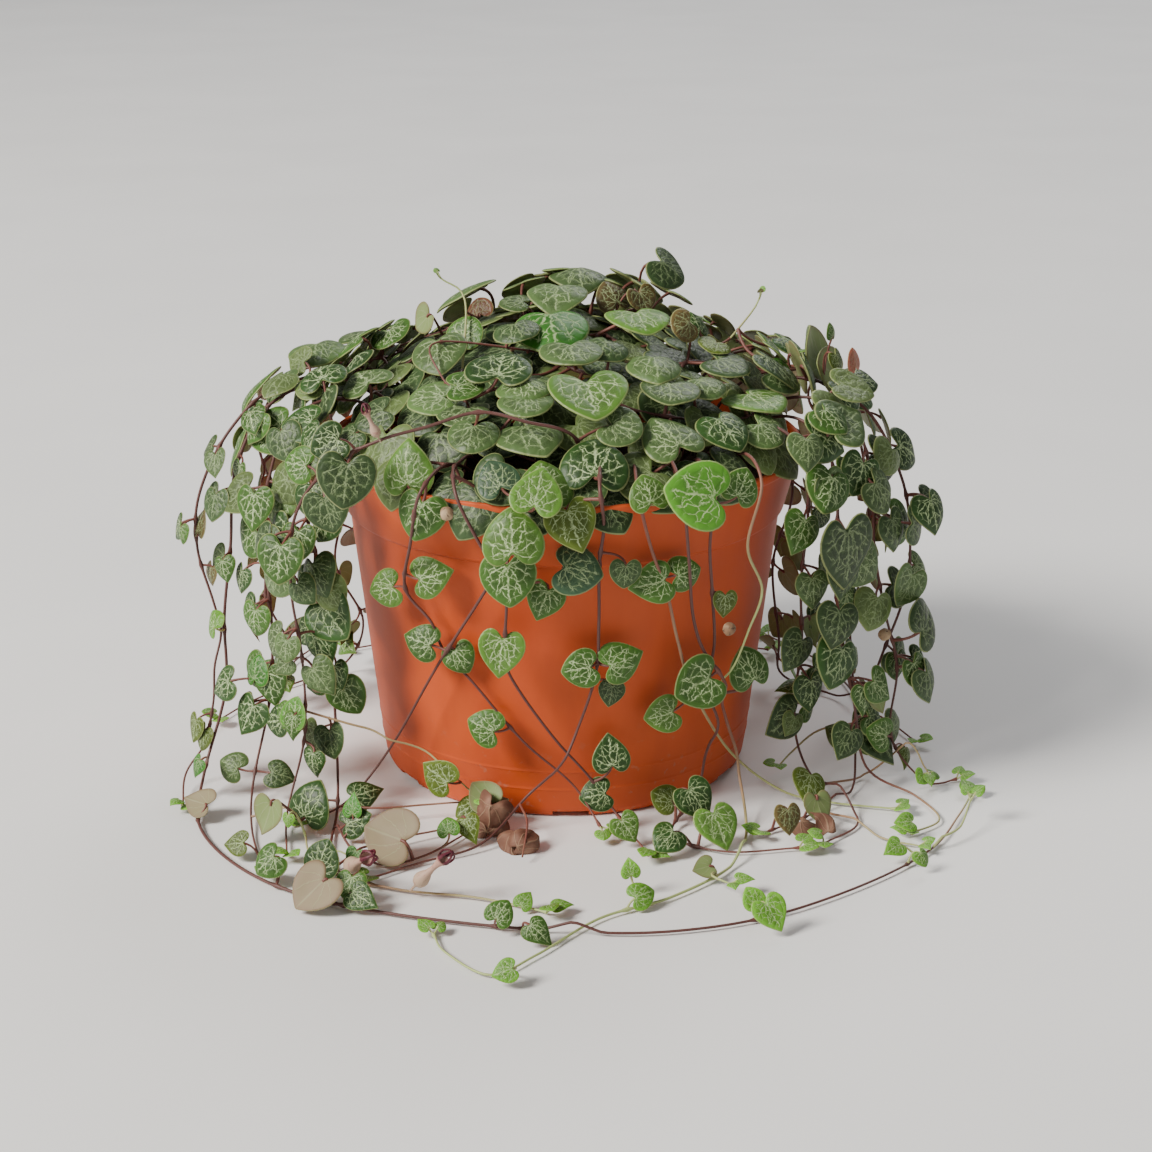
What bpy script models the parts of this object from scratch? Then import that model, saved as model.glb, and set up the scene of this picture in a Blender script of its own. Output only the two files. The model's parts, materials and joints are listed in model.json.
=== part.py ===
"""Potted string of hearts: a nursery pot of growing mix, a crown of heart leaves and trailing vines.

Metres, +Z up. The origin is the centre of the pot's base, on the surface that it stands on; -Y is the
front. Routes and places are listed in millimetres and turned into metres by the constant MM. Each shoot
(its stem, leaf stalks and leaves) is one grown piece, so it is one object.
"""

import math

import bmesh
import bpy
from mathutils import Vector, kdtree
from mathutils.bvhtree import BVHTree

MM = 0.001

# Pot
RIM_R = 60.0 * MM
POT_H = 84.4 * MM
COLLAR_Z = 68.5 * MM
COLLAR_R = 55.9 * MM
WALL_TOP_R = 54.9 * MM
FOOT_R = 47.2 * MM
POT_WALL = 1.4 * MM
FLOOR_Z = 3.7 * MM
POT_SIDES = 36
LIP = 2.4 * MM
DRAIN_HOLES = 8
DRAIN_RING_R = 29.0 * MM
DRAIN_R = 3.5 * MM
DRAIN_SIDES = 12
DRAIN_TURN = 0.37
NOTCHES = 6
NOTCH_DEPTH, NOTCH_WIDTH, NOTCH_HEIGHT = 12.0 * MM, 9.0 * MM, 1.7 * MM
NOTCH_TURN = 0.53

# Growing mix
SOIL_TOP = 74.0 * MM
SOIL_GAP = 0.35 * MM
SOIL_SIDES = 28

# Shoots
STEM_R = 0.7 * MM
STEM_SIDES = 3
STALK_R = 0.5 * MM
STALK_SIDES = 3
STEM_SLACK = 0.75 * MM
STEM_GAP = 2.3 * MM
ROUTE_STEP = 1.5 * MM
SETTLE_ROUNDS = 30
POT_CLEARANCE = 1.3 * MM
LEAF_THICK = 0.8 * MM
LEAF_CLEARANCE = 0.3 * MM
LEAF_LIFTS = (0, 1.5, 3, -1.5, 4.5, 6.5, -3, 9)
MOUND_TOP = 119.0 * MM
MOUND_BACK = 14.0 * MM
MOUND_FALL = 33.0 * MM
MOUND_R = 74.0 * MM

# Front vines cross the rim towards -Y and cling to the pot's face; each route runs from the soil outwards.
FRONT_ROUTES = [
    [(-14, -24, 76), (-26, -44, 90), (-33, -59, 88), (-36, -55, 74), (-38, -47, 60), (-32, -48, 52),
     (-29, -47, 44), (-22, -50, 37), (-10, -53, 23), (2, -54, 12), (9, -60, 3)],
    [(-4, -30, 76), (-6, -50, 90), (-9, -63, 87), (-13, -60, 74), (-19, -56, 62), (-31, -48, 40),
     (-43, -40, 16), (-54, -44, 3), (-64, -52, 1)],
    [(-18, -26, 76), (-25, -48, 91), (-25, -61, 88), (-20, -62, 77), (-14, -62, 66), (-14, -59, 52),
     (-14, -56, 44), (-10, -56, 36), (-2, -55, 24), (6, -54, 14), (14, -58, 4), (20, -70, 1)],
    [(6, -26, 76), (8, -50, 92), (8, -64, 90), (9, -61, 80), (8, -59, 70), (8, -58, 55), (7, -56, 40),
     (0, -54, 20), (-10, -54, 8), (-20, -66, 2), (-34, -74, 1), (-45, -82, 1)],
    [(14, -22, 76), (16, -48, 91), (17, -62, 87), (20, -58, 74), (24, -56, 62), (27, -51, 48),
     (31, -47, 34), (41, -38, 14), (54, -37, 3), (66, -40, 1), (82, -44, 1)],
    [(26, -20, 76), (31, -44, 91), (34, -58, 87), (34, -53, 72), (35, -50, 60), (36, -46, 45),
     (34, -45, 34), (35, -41, 20), (33, -43, 6), (26, -58, 1), (38, -68, 1), (56, -66, 1)],
    [(34, -14, 76), (42, -38, 91), (46, -50, 87), (43, -51, 72), (47, -48, 60), (44, -47, 49),
     (41, -46, 40), (38, -46, 36)],
    [(22, -16, 76), (24, -44, 92), (27, -60, 88), (29, -57, 70), (31, -51, 52), (38, -43, 30),
     (43, -40, 10), (44, -58, 1), (39, -76, 1), (24, -92, 1), (8, -102, 1), (-6, -119, 1),
     (-16, -128, 1), (-26, -118, 1), (-29, -110, 1)],
]

# Left vines arch out over the rim, hang in a bunch and run forward on the surface. The first comes
# across the front of the mound; the fourth makes the long loop round the front.
LEFT_ROUTES = [
    [(6, -36, 84), (2, -48, 98), (-9, -50, 102), (-20, -49, 104), (-32, -51, 101), (-43, -52, 98),
     (-55, -50, 91), (-64, -44, 77), (-66, -41, 58), (-64, -41, 40), (-64, -42, 20), (-68, -50, 3),
     (-66, -70, 1)],
    [(-24, -14, 76), (-44, -22, 92), (-58, -28, 92), (-63, -32, 80), (-60, -33, 60), (-58, -33, 40),
     (-57, -35, 20), (-56, -46, 3), (-56, -64, 1), (-52, -80, 1), (-38, -88, 1), (-20, -92, 1),
     (-4, -99, 1)],
    [(-26, -8, 76), (-50, -14, 97), (-66, -20, 95), (-73, -23, 78), (-74, -25, 60), (-73, -26, 42),
     (-74, -29, 24), (-78, -36, 5), (-76, -56, 1), (-70, -80, 1)],
    [(-28, 0, 76), (-52, -2, 99), (-72, -8, 96), (-82, -12, 80), (-84, -15, 60), (-86, -18, 42),
     (-86, -22, 24), (-91, -32, 5), (-89, -54, 1), (-75, -78, 1), (-54, -94, 1), (-24, -104, 1),
     (8, -109, 1), (30, -107, 1), (50, -99, 1), (72, -83, 1), (88, -66, 1), (97, -48, 1), (102, -36, 1)],
    [(-30, 8, 76), (-54, 6, 97), (-72, -2, 98), (-84, -8, 88), (-92, -10, 72), (-93, -11, 58),
     (-89, -14, 44), (-85, -19, 30), (-89, -24, 14), (-96, -28, 4), (-95, -42, 1)],
]

# Right vines hang the same way on the other side.
RIGHT_ROUTES = [
    [(28, -8, 76), (50, -18, 94), (62, -26, 92), (66, -31, 78), (66, -33, 60), (68, -32, 44),
     (72, -31, 26), (76, -32, 7), (88, -36, 1), (92, -50, 1), (84, -58, 1)],
    [(32, 0, 76), (54, -8, 96), (70, -16, 94), (76, -19, 78), (77, -21, 62), (80, -22, 46),
     (84, -22, 30), (83, -24, 12), (92, -28, 1), (100, -26, 1)],
    [(30, 8, 76), (54, 4, 98), (74, -4, 94), (84, -10, 78), (87, -13, 62), (86, -14, 46),
     (80, -16, 28), (75, -20, 10), (72, -34, 1), (60, -48, 1), (48, -58, 1)],
    [(26, -14, 76), (46, -26, 94), (57, -32, 90), (59, -32, 74), (58, -31, 56), (59, -28, 38),
     (58, -24, 18), (62, -28, 4), (72, -50, 1), (62, -64, 1)],
]

# Rear vines follow a rule: azimuth of the rim crossing, reach past the rim, trail's turn and length.
REAR_VINES = [(12, 20, 40, 34), (34, 12, -35, 40), (56, 17, 30, 26), (78, 9, -30, 38),
              (98, 15, 35, 30), (120, 10, -40, 40), (142, 18, 30, 30), (164, 22, -30, 38)]

# Crown shoots coil through the mound: start azimuth, sweep, start and end radius, depth under its top.
CROWN_SHOOTS = [(250, 70, 8, 26, 9), (10, 80, 8, 26, 9), (130, 70, 8, 24, 9),
                (205, 75, 28, 52, 8), (285, 60, 28, 52, 8), (345, 60, 30, 54, 8),
                (45, 60, 30, 52, 8), (105, 60, 30, 52, 8), (155, 50, 30, 54, 8)]

# Leaves placed one by one, as (x, y, z, tip, lean, width): the blade's centre, the clock angle of its
# tip seen from outside (0 right, 90 up), how far its face turns up from level, and its width.
CROWN_LEAVES = [
    (-44, 8, 108, 330, 55, 12), (-37, 8, 112, 235, 22, 9), (-31, -14, 109, 300, 55, 15),
    (-24, 0, 113, 80, 35, 11), (-3, -12, 115, 280, 70, 20), (-2, 2, 120, 270, 76, 16),
    (-14, 10, 117, 190, 80, 11), (4, 22, 121, 265, 82, 16), (-15, -26, 110, 90, 68, 17),
    (-8, -35, 106, 300, 74, 15), (2, -27, 112, 275, 74, 16), (-34, -30, 102, 200, 74, 16),
    (-22, -31, 106, 20, 66, 12), (-26, -39, 100, 250, 74, 14), (-9, -41, 103, 280, 78, 14),
    (6, -41, 103, 275, 70, 20), (-22, -48, 96, 268, 52, 13), (-7, -49, 98, 300, 78, 17),
    (-37, -48, 91, 100, 16, 14), (-16, -56, 91, 120, 44, 11), (-5, -59, 91, 100, 44, 14),
    (7, -54, 95, 85, 48, 17), (28, 14, 123.5, 300, 42, 14), (12, 12, 119, 100, 38, 10),
    (20, 8, 117, 280, 30, 9), (19, -10, 116, 265, 78, 17), (33, 4, 113, 90, 36, 8),
    (36, -9, 110, 200, 70, 9), (62, 6, 106, 130, 20, 16), (54, 2, 103, 90, 45, 7),
    (42, -14, 106, 300, 72, 15), (35, -27, 104, 280, 74, 13), (22, -26, 109, 260, 74, 14),
    (25, -34, 103, 250, 74, 15), (9, -22, 112, 240, 66, 12), (24, -44, 98, 110, 60, 16),
    (39, -38, 96, 280, 58, 14), (50, -32, 94, 300, 54, 13), (49, -23, 99, 280, 80, 18),
    (56, -8, 101, 300, 58, 13), (15, -47, 99, 330, 56, 13), (29, -64, 89, 165, 22, 17),
    (41, -56, 89, 60, 18, 10), (19, -61, 89, 100, 30, 10), (-50, -12, 103, 160, 66, 14),
    (-47, -28, 97, 220, 50, 12), (-53, -31, 92, 240, 50, 10), (-58, -8, 98, 170, 60, 11),
    (-11, -16, 115, 300, 66, 12), (67, 0, 112, 85, 10, 5), (68, -6, 105, 280, 20, 7),
]

FRONT_LEAVES = [
    (-34, -56, 80, 260, 12, 13), (-44, -42, 58, 200, 10, 10), (-31, -52, 65, 20, 14, 11),
    (-35, -48, 47, 170, 16, 10), (-25, -51, 43, 300, 10, 9), (-20, -53, 27, 160, 14, 10),
    (-12, -68, 81, 95, 20, 15), (-13, -64, 67, 275, 12, 14), (-15, -60, 48, 265, 16, 12),
    (2, -65, 81, 290, 16, 13), (-6, -67, 91, 80, 36, 13), (4, -62, 70, 350, 30, 13),
    (-5, -60, 61, 250, 10, 10), (14, -61, 68, 265, 8, 8), (3, -59, 44, 190, 12, 10),
    (14, -58, 46, 20, 18, 11), (11, -55, 36, 260, 10, 7), (20, -58, 65, 190, 16, 11),
    (29, -55, 67, 10, 20, 9), (31, -52, 37, 200, 16, 14), (45, -43, 39, 100, 14, 12),
    (23, -51, 29, 190, 12, 10), (38, -50, 57, 265, 10, 7), (11, -55, 21, 95, 14, 10),
    (7, -56, 10, 190, 20, 9), (15, -64, 5, 300, 30, 8), (-31, -50, 13, 150, 16, 10),
]

SIDE_LEAVES = [
    (-77, -15, 91, 250, 20, 11), (-81, -15, 79, 265, 10, 7), (-65, -26, 86, 230, 26, 15),
    (-71, -26, 74, 250, 16, 13), (-59, -36, 72, 240, 12, 11), (-60, -37, 59, 300, 12, 12),
    (-72, -31, 62, 200, 16, 13), (-81, -21, 53, 260, 10, 8), (-56, -39, 49, 320, 16, 15),
    (-89, -20, 42, 150, 20, 8), (-77, -30, 33, 100, 16, 9), (-86, -27, 27, 220, 20, 10),
    (-56, -38, 34, 290, 10, 8), (-66, -43, 27, 90, 20, 9), (-72, -38, 22, 200, 16, 9),
    (-62, -45, 14, 265, 6, 8), (-92, -26, 12, 265, 16, 8), (-92, -11, 65, 100, 20, 8),
    (-90, -12, 51, 265, 12, 7), (68, -24, 95, 10, 50, 16), (64, -34, 80, 290, 10, 11),
    (68, -40, 66, 270, 6, 19), (78, -24, 76, 300, 20, 13), (88, -18, 66, 330, 12, 11),
    (91, -21, 43, 30, 16, 15), (92, -24, 26, 285, 10, 12), (67, -37, 36, 240, 12, 15),
    (55, -29, 18, 200, 6, 13), (80, -27, 12, 280, 40, 15), (78, -30, 25, 280, 6, 9),
    (61, -26, 42, 265, 12, 8),
]

# Small leaves of the stems that lie on the surface; these stand or lie beside the stem.
FLOOR_LEAVES = [
    (-14, -108, 6, 60, 30, 7), (-6, -114, 4, 320, 40, 7), (42, -101, 6, 110, 30, 5),
    (46, -108, 5, 290, 40, 8), (84, -78, 4, 280, 40, 5), (78, -72, 4, 190, 50, 6),
    (82, -60, 5, 160, 50, 6), (-13, -132, 4, 200, 40, 6), (15, -94, 6, 90, 30, 6),
    (-40, -68, 5, 170, 30, 11), (24, -50, 7, 150, 30, 8), (34, -58, 5, 300, 40, 9),
    (24, -70, 5, 220, 50, 9), (54, -61, 6, 265, 30, 7), (62, -34, 5, 340, 50, 9),
    (-27, -64, 5, 120, 40, 6), (-56, -82, 7, 100, 20, 9), (-69, -84, 6, 230, 30, 9),
    (-62, -54, 7, 250, 30, 11), (-50, -62, 6, 30, 30, 8), (-93, -34, 5, 180, 40, 8),
]

# Flowers as (x, y, z, azimuth of the lean, lean from upright, size); tubers and dry leaves as places.
FLOWERS = [(-43, -53.5, 99.4, 200, 25, 0.6), (-50, -83.5, 4.5, 300, 55, 1.0), (-34, -91, 3.8, 340, 40, 0.9)]
TUBERS = [(-27, -62, 83.5), (39, -53, 52), (-61, -35, 30), (80, -25, 40)]
DRY_LEAVES = [(-12, -66, 2, 260, 62, 10), (-21, -56, 4, 120, 40, 12), (60, -56, 2, 320, 70, 9)]

GOLDEN_ANGLE = math.radians(137.508)
MOUND_PLACES = 92
MOUND_SPACING = 13 * MM
MOUND_LEAVES_R = 58 * MM

# Pairs along the hanging stems: where the first is, how far apart they are, and the first and last width.
REAR_PAIRS = (52 * MM, 42 * MM, 14 * MM, 9 * MM)
SIDE_PAIRS = (60 * MM, 90 * MM, 12 * MM, 7 * MM)
TRIM_SIDES = 8

MATERIALS = {
    "pot_plastic": ((0.56, 0.13, 0.045), 0.42),
    "soil": ((0.035, 0.022, 0.015), 0.95),
    "vine": ((0.10, 0.19, 0.06), 0.5),
    "flower": ((0.45, 0.25, 0.22), 0.5),
    "tuber": ((0.55, 0.45, 0.30), 0.6),
    "dry_leaf": ((0.28, 0.15, 0.08), 0.7),
}


def material(name):
    made = bpy.data.materials.get(name)
    if made is None:
        colour, roughness = MATERIALS[name]
        made = bpy.data.materials.new(name)
        made.use_nodes = True
        shader = made.node_tree.nodes["Principled BSDF"]
        shader.inputs["Base Color"].default_value = (*colour, 1)
        shader.inputs["Roughness"].default_value = roughness
        shader.inputs["Metallic"].default_value = 0
    return made


def new_object(name, points, faces, finish, helper=False):
    mesh = bpy.data.meshes.new(name)
    mesh.from_pydata([tuple(point) for point in points], [], faces)
    mesh.materials.append(material(finish))
    made = bpy.data.objects.new(name, mesh)
    bpy.context.scene.collection.objects.link(made)
    if helper:
        made.hide_render = True
        made.display_type = "WIRE"
    return made


def turned(profile, sides):
    """Points and faces of a profile turned about Z; the profile starts and ends on the axis."""
    points = [Vector((0, 0, profile[0][1])), Vector((0, 0, profile[-1][1]))]
    rings = []
    for radius, height in profile[1:-1]:
        rings.append(list(range(len(points), len(points) + sides)))
        for i in range(sides):
            angle = 2 * math.pi * i / sides
            points.append(Vector((radius * math.cos(angle), radius * math.sin(angle), height)))
    faces = []
    for i in range(sides):
        j = (i + 1) % sides
        faces.append((0, rings[0][j], rings[0][i]))
        faces.append((1, rings[-1][i], rings[-1][j]))
        for low, high in zip(rings, rings[1:]):
            faces.append((low[i], low[j], high[j], high[i]))
    return points, faces


def cut(target, name, points, faces):
    cutter = new_object(name, points, faces, "soil", helper=True)
    modifier = target.modifiers.new(name, "BOOLEAN")
    modifier.operation = "DIFFERENCE"
    modifier.solver = "EXACT"
    modifier.object = cutter


def box_points(size, centre, angle):
    """A box's corners, turned about Z by the angle after it is moved out to its centre."""
    points = []
    for x in (-0.5, 0.5):
        for y in (-0.5, 0.5):
            for z in (-0.5, 0.5):
                place = Vector((centre[0] + x * size[0], y * size[1], centre[1] + z * size[2]))
                turn = Vector((math.cos(angle), math.sin(angle)))
                points.append(Vector((place.x * turn.x - place.y * turn.y,
                                      place.x * turn.y + place.y * turn.x, place.z)))
    return points


BOX_FACES = [(0, 1, 3, 2), (4, 6, 7, 5), (0, 4, 5, 1), (2, 3, 7, 6), (0, 2, 6, 4), (1, 5, 7, 3)]


def outer_radius(z):
    """The pot's outside radius at a height."""
    if z >= COLLAR_Z:
        share = min(1, (z - COLLAR_Z) / (POT_H - COLLAR_Z))
        return COLLAR_R + (RIM_R - COLLAR_R) * share
    return FOOT_R + (WALL_TOP_R - FOOT_R) * max(0, z) / COLLAR_Z


def make_pot():
    profile = [(0, 0), (14 * MM, 0), (14.4 * MM, 2.2 * MM), (41 * MM, 2.2 * MM), (41.4 * MM, 0),
               (FOOT_R - 2.0 * MM, 0), (FOOT_R - 0.6 * MM, 0.5 * MM), (FOOT_R, 2.0 * MM),
               (WALL_TOP_R, COLLAR_Z - 0.4 * MM), (COLLAR_R, COLLAR_Z),
               (RIM_R - 0.6 * MM, POT_H - LIP), (RIM_R + 0.3 * MM, POT_H - 0.8 * LIP),
               (RIM_R + 0.3 * MM, POT_H - 0.4 * MM), (RIM_R - 0.2 * MM, POT_H),
               (RIM_R - POT_WALL, POT_H), (RIM_R - POT_WALL - 0.3 * MM, POT_H - 1.0 * MM),
               (COLLAR_R - POT_WALL + 0.2 * MM, COLLAR_Z + 1.5 * MM),
               (WALL_TOP_R - POT_WALL, COLLAR_Z + 0.6 * MM),
               (FOOT_R - POT_WALL, FLOOR_Z + 0.6 * MM), (FOOT_R - 2.6 * MM, FLOOR_Z), (0, FLOOR_Z)]
    pot = new_object("pot", *turned(profile, POT_SIDES), "pot_plastic")
    for i in range(DRAIN_HOLES):
        angle = 2 * math.pi * (i + DRAIN_TURN) / DRAIN_HOLES
        rings = [(0, -MM), (DRAIN_R, -MM), (DRAIN_R, 8 * MM), (0, 8 * MM)]
        points, faces = turned(rings, DRAIN_SIDES)
        centre = Vector((math.cos(angle), math.sin(angle), 0)) * DRAIN_RING_R
        cut(pot, f"drain_{i + 1}", [point + centre for point in points], faces)
    for i in range(NOTCHES):
        angle = 2 * math.pi * (i + NOTCH_TURN) / NOTCHES
        size = (NOTCH_DEPTH, NOTCH_WIDTH, 2 * NOTCH_HEIGHT)
        cut(pot, f"notch_{i + 1}", box_points(size, (FOOT_R - 2 * MM, 0), angle), BOX_FACES)
    pot.data.shade_smooth()
    pot.data.set_sharp_from_angle(angle=math.radians(35))
    return pot


def make_soil():
    inner_floor = FOOT_R - POT_WALL - SOIL_GAP
    inner_top = WALL_TOP_R - POT_WALL - SOIL_GAP
    collar_top = outer_radius(SOIL_TOP) - POT_WALL - 0.5 * MM - SOIL_GAP
    low = FLOOR_Z + SOIL_GAP
    profile = [(0, low), (inner_floor - 2 * MM, low), (inner_floor, low + 1.2 * MM),
               (inner_top, COLLAR_Z + 0.2 * MM), (collar_top - MM, COLLAR_Z + 3 * MM),
               (collar_top, SOIL_TOP - 0.8 * MM), (collar_top - 3 * MM, SOIL_TOP), (0, SOIL_TOP)]
    soil = new_object("soil", *turned(profile, SOIL_SIDES), "soil")
    soil.data.shade_smooth()
    soil.data.set_sharp_from_angle(angle=math.radians(35))
    return soil


def smooth_route(points, step):
    """A curve through the points (a Catmull-Rom spline), with a point about every step."""
    ends = [2 * points[0] - points[1]] + points + [2 * points[-1] - points[-2]]
    route = []
    for a, b, c, d in zip(ends, ends[1:], ends[2:], ends[3:]):
        count = max(1, round((c - b).length / step))
        for i in range(count):
            t = i / count
            route.append(0.5 * (2 * b + (c - a) * t + (2 * a - 5 * b + 4 * c - d) * t**2
                                + (3 * b - a - 3 * c + d) * t**3))
    return route + [points[-1].copy()]


def way_out(point):
    """The direction in which a stem gives way: up on the surface and over the mound, else outwards."""
    radius = math.hypot(point.x, point.y)
    over_mix = radius < RIM_R and point.z > POT_H - 12 * MM
    if point.z < 9 * MM or over_mix and radius < outer_radius(point.z):
        return Vector((0, 0, 1))
    return Vector((point.x, point.y, 0)).normalized()


def clear_of_pot(point):
    radius = math.hypot(point.x, point.y)
    over = POT_H + POT_CLEARANCE - point.z
    beside = outer_radius(point.z) + POT_CLEARANCE - radius
    if over > 0 and beside > 0 and radius > RIM_R - 8 * MM and over < beside:
        point.z += over
    elif over > 0 and beside > 0 and (radius > RIM_R - 8 * MM or point.z < SOIL_TOP):
        scale = (radius + beside) / radius
        point.x *= scale
        point.y *= scale
    point.z = max(point.z, STEM_R + 0.1 * MM)


def settle(route, taken):
    """Moves a route clear of the pot and, where it crosses an earlier stem, over that stem."""
    for _ in range(SETTLE_ROUNDS):
        for point in route:
            clear_of_pot(point)
        close = False
        for i, point in enumerate(route):
            distance = taken.find(point)[2] if taken else None
            if distance is None or distance >= STEM_GAP:
                continue
            close = True
            move = way_out(point) * (STEM_GAP - distance) * 0.8
            for k in range(-4, 5):
                if 0 <= i + k < len(route):
                    route[i + k] += move * (1 - abs(k) / 5)
        if not close:
            break
    return route


def tree_of(routes):
    points = [point for route in routes for point in route]
    tree = kdtree.KDTree(len(points))
    for i, point in enumerate(points):
        tree.insert(point, i)
    tree.balance()
    return tree


def mound_height(x, y):
    reach = min(80 * MM, math.hypot(0.97 * x, y - MOUND_BACK))
    return MOUND_TOP - MOUND_FALL * (reach / MOUND_R) ** 2.2


def rear_route(azimuth, reach, turn, trail):
    angle = math.radians(azimuth)

    def at(radius, height, more=0.0):
        return Vector((radius * math.cos(angle + more), radius * math.sin(angle + more), height)) * MM

    sway = math.radians(1 + 0.12 * reach)
    points = [at(30, 76), at(48, 97), at(60 + 0.6 * reach, 96), at(60 + reach, 80, sway),
              at(61 + reach, 58, -sway), at(60 + reach, 36, sway), at(58 + reach, 16, -sway), at(62 + reach, 3)]
    for share in (0.35, 0.7, 1):
        points.append(at(63 + reach + trail * share * 0.45, 1, math.radians(turn) * share))
    return points


def crown_route(azimuth, sweep, first, last, depth):
    points = []
    for i in range(5):
        share = i / 4
        angle = math.radians(azimuth + sweep * share)
        radius = (first + (last - first) * share) * MM
        x, y = radius * math.cos(angle), radius * math.sin(angle)
        height = max(mound_height(x, y) - depth * MM, SOIL_TOP + 5 * MM)
        points.append(Vector((x, y, height)))
    foot = points[0].copy()
    foot.z = SOIL_TOP + 2 * MM
    middle = points[0].lerp(foot, 0.5)
    middle.x += 2 * MM
    return [foot, middle] + points


def all_routes():
    """Every shoot's name and settled route, in the order in which the stems lie on each other."""
    planned = []
    for side, group in (("front", FRONT_ROUTES), ("left", LEFT_ROUTES), ("right", RIGHT_ROUTES)):
        for i, points in enumerate(group):
            planned.append((f"vine_{side}_{i + 1}", [Vector(point) * MM for point in points]))
    for i, values in enumerate(REAR_VINES):
        planned.append((f"vine_rear_{i + 1}", rear_route(*values)))
    for i, values in enumerate(CROWN_SHOOTS):
        planned.append((f"crown_shoot_{i + 1}", crown_route(*values)))
    routes = {}
    for name, points in planned:
        route = smooth_route(points, ROUTE_STEP)
        taken = tree_of(routes.values()) if routes else None
        routes[name] = settle(route, taken)
    return routes


def tube_shell(route, radius, sides):
    """A closed tube along the route."""
    points, faces = [], []
    side = Vector((0.3, 0.2, 1)).cross(route[1] - route[0]).normalized()
    for i, point in enumerate(route):
        along = (route[min(i + 1, len(route) - 1)] - route[max(i - 1, 0)]).normalized()
        side = (side - along * side.dot(along)).normalized()
        other = along.cross(side)
        for k in range(sides):
            angle = 2 * math.pi * (k + 0.5) / sides
            points.append(point + (side * math.cos(angle) + other * math.sin(angle)) * radius)
    for i in range(len(route) - 1):
        for k in range(sides):
            a, b = i * sides + k, i * sides + (k + 1) % sides
            faces.append((a, b, b + sides, a + sides))
    faces.append(tuple(reversed(range(sides))))
    faces.append(tuple(range(len(points) - sides, len(points))))
    return points, faces


def leaf_frame(azimuth, lean, tip):
    """The unit vectors of a blade: across, towards the tip, and out of its face."""
    face = Vector((math.cos(azimuth) * math.cos(lean), math.sin(azimuth) * math.cos(lean),
                   math.sin(lean)))
    right = Vector((0, 0, 1)).cross(face).normalized()
    up = face.cross(right)
    along = right * math.cos(tip) + up * math.sin(tip)
    return along.cross(face), along, face


def placed_leaf(x, y, z, tip, lean, width):
    """A hand-placed leaf: its notch, its frame and its width. Faces turn to the front, fanning out."""
    azimuth = math.atan2(y - 40, x)
    frame = leaf_frame(azimuth, math.radians(lean), math.radians(tip))
    notch = Vector((x, y, z)) * MM - frame[1] * 0.32 * width * MM
    return notch, frame, width * MM


def paired_leaves(route, start, spacing, first, last):
    """Opposite pairs along a hanging stem, each pair turned a quarter from the last."""
    leaves = []
    count = int((len(route) * ROUTE_STEP - start) / spacing)
    for i in range(count):
        at = min(len(route) - 2, int((start + i * spacing) / ROUTE_STEP))
        point = route[at]
        along = (route[at + 1] - route[at - 1]).normalized()
        out = way_out(point)
        side = along.cross(out).normalized()
        out = side.cross(along)
        width = first + (last - first) * i / max(1, count - 1)
        width *= 1 + 0.12 * math.sin(2.4 * i + 9 * point.x / MM)
        for sign in (-1, 1):
            spread = math.radians(78 if i % 2 else 34) * sign
            stalk = out * math.cos(spread) + side * math.sin(spread)
            face = (out * 0.9 + stalk * 0.25 + Vector((0, 0, 0.35 + 0.2 * math.sin(5 * i)))).normalized()
            hang = Vector((0, 0, -1)) if point.z > 14 * MM else Vector((0, 0, 0.15))
            tip = (stalk + hang * 0.9 + along * 0.35 * math.sin(3 * i + sign)).normalized()
            tip = (tip - face * tip.dot(face)).normalized()
            notch = point + stalk * (3.4 * MM + 0.12 * width)
            notch.z = max(notch.z, 3 * MM)
            leaves.append((notch, (tip.cross(face), tip, face), width))
    return leaves


def mound_leaves(placed):
    """Leaves that cover the rest of the mound, spread at the golden angle, off those already placed."""
    leaves = []
    centres = [notch + frame[1] * 0.32 * width for notch, frame, width in placed]
    for i in range(MOUND_PLACES):
        radius = MOUND_LEAVES_R * math.sqrt((i + 0.5) / MOUND_PLACES)
        angle = i * GOLDEN_ANGLE
        x, y = radius * math.cos(angle), radius * math.sin(angle)
        centre = Vector((x, y, mound_height(x, y) + MM * math.sin(7 * i)))
        if min((centre - other).length for other in centres) < MOUND_SPACING:
            continue
        azimuth = math.atan2(y - 12 * MM, x)
        lean = math.radians(84 - 46 * radius / MOUND_LEAVES_R + 7 * math.sin(3 * i))
        frame = leaf_frame(azimuth, lean, math.radians(270 + 60 * math.sin(11 * i)))
        width = (13.5 + 3 * math.sin(5 * i)) * MM
        centres.append(centre)
        leaves.append((centre - frame[1] * 0.32 * width, frame, width))
    return leaves


# Half of a blade's outline at a width of 1, from the lobe to the tip: (across, along, drop).
HALF_BLADE = [(0.36, -0.18, 0.04), (0.48, 0.28, 0.07), (0.0, 0.80, 0.05)]


def blade_shell(notch, frame, width, grow=0.0):
    """A leaf's blade: an even plate, folded a little along its middle; grow adds clearance."""
    across, along, face = frame
    half = 0.5 * LEAF_THICK + grow
    outline, mirrored = [notch], []
    for x, y, drop in HALF_BLADE:
        scale = width + 2 * grow
        middle = notch + along * y * scale - face * drop * scale
        outline.append(middle + across * x * scale)
        mirrored.append(middle - across * x * scale)
    outline += mirrored[-2::-1]
    count = len(outline)
    points = [point + face * half for point in outline] + [point - face * half for point in outline]
    top = [(0, i, i + 1) for i in range(1, count - 1)]
    faces = top + [(c + count, b + count, a + count) for a, b, c in top]
    for i in range(count):
        j = (i + 1) % count
        faces.append((i, i + count, j + count, j))
    return points, faces


def stalk_shell(notch, frame, width, root, grow=0.0):
    """A leaf's stalk, from the stem's axis to just inside the blade."""
    return tube_shell([root, notch + frame[1] * 0.07 * width], STALK_R + grow, STALK_SIDES)


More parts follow.
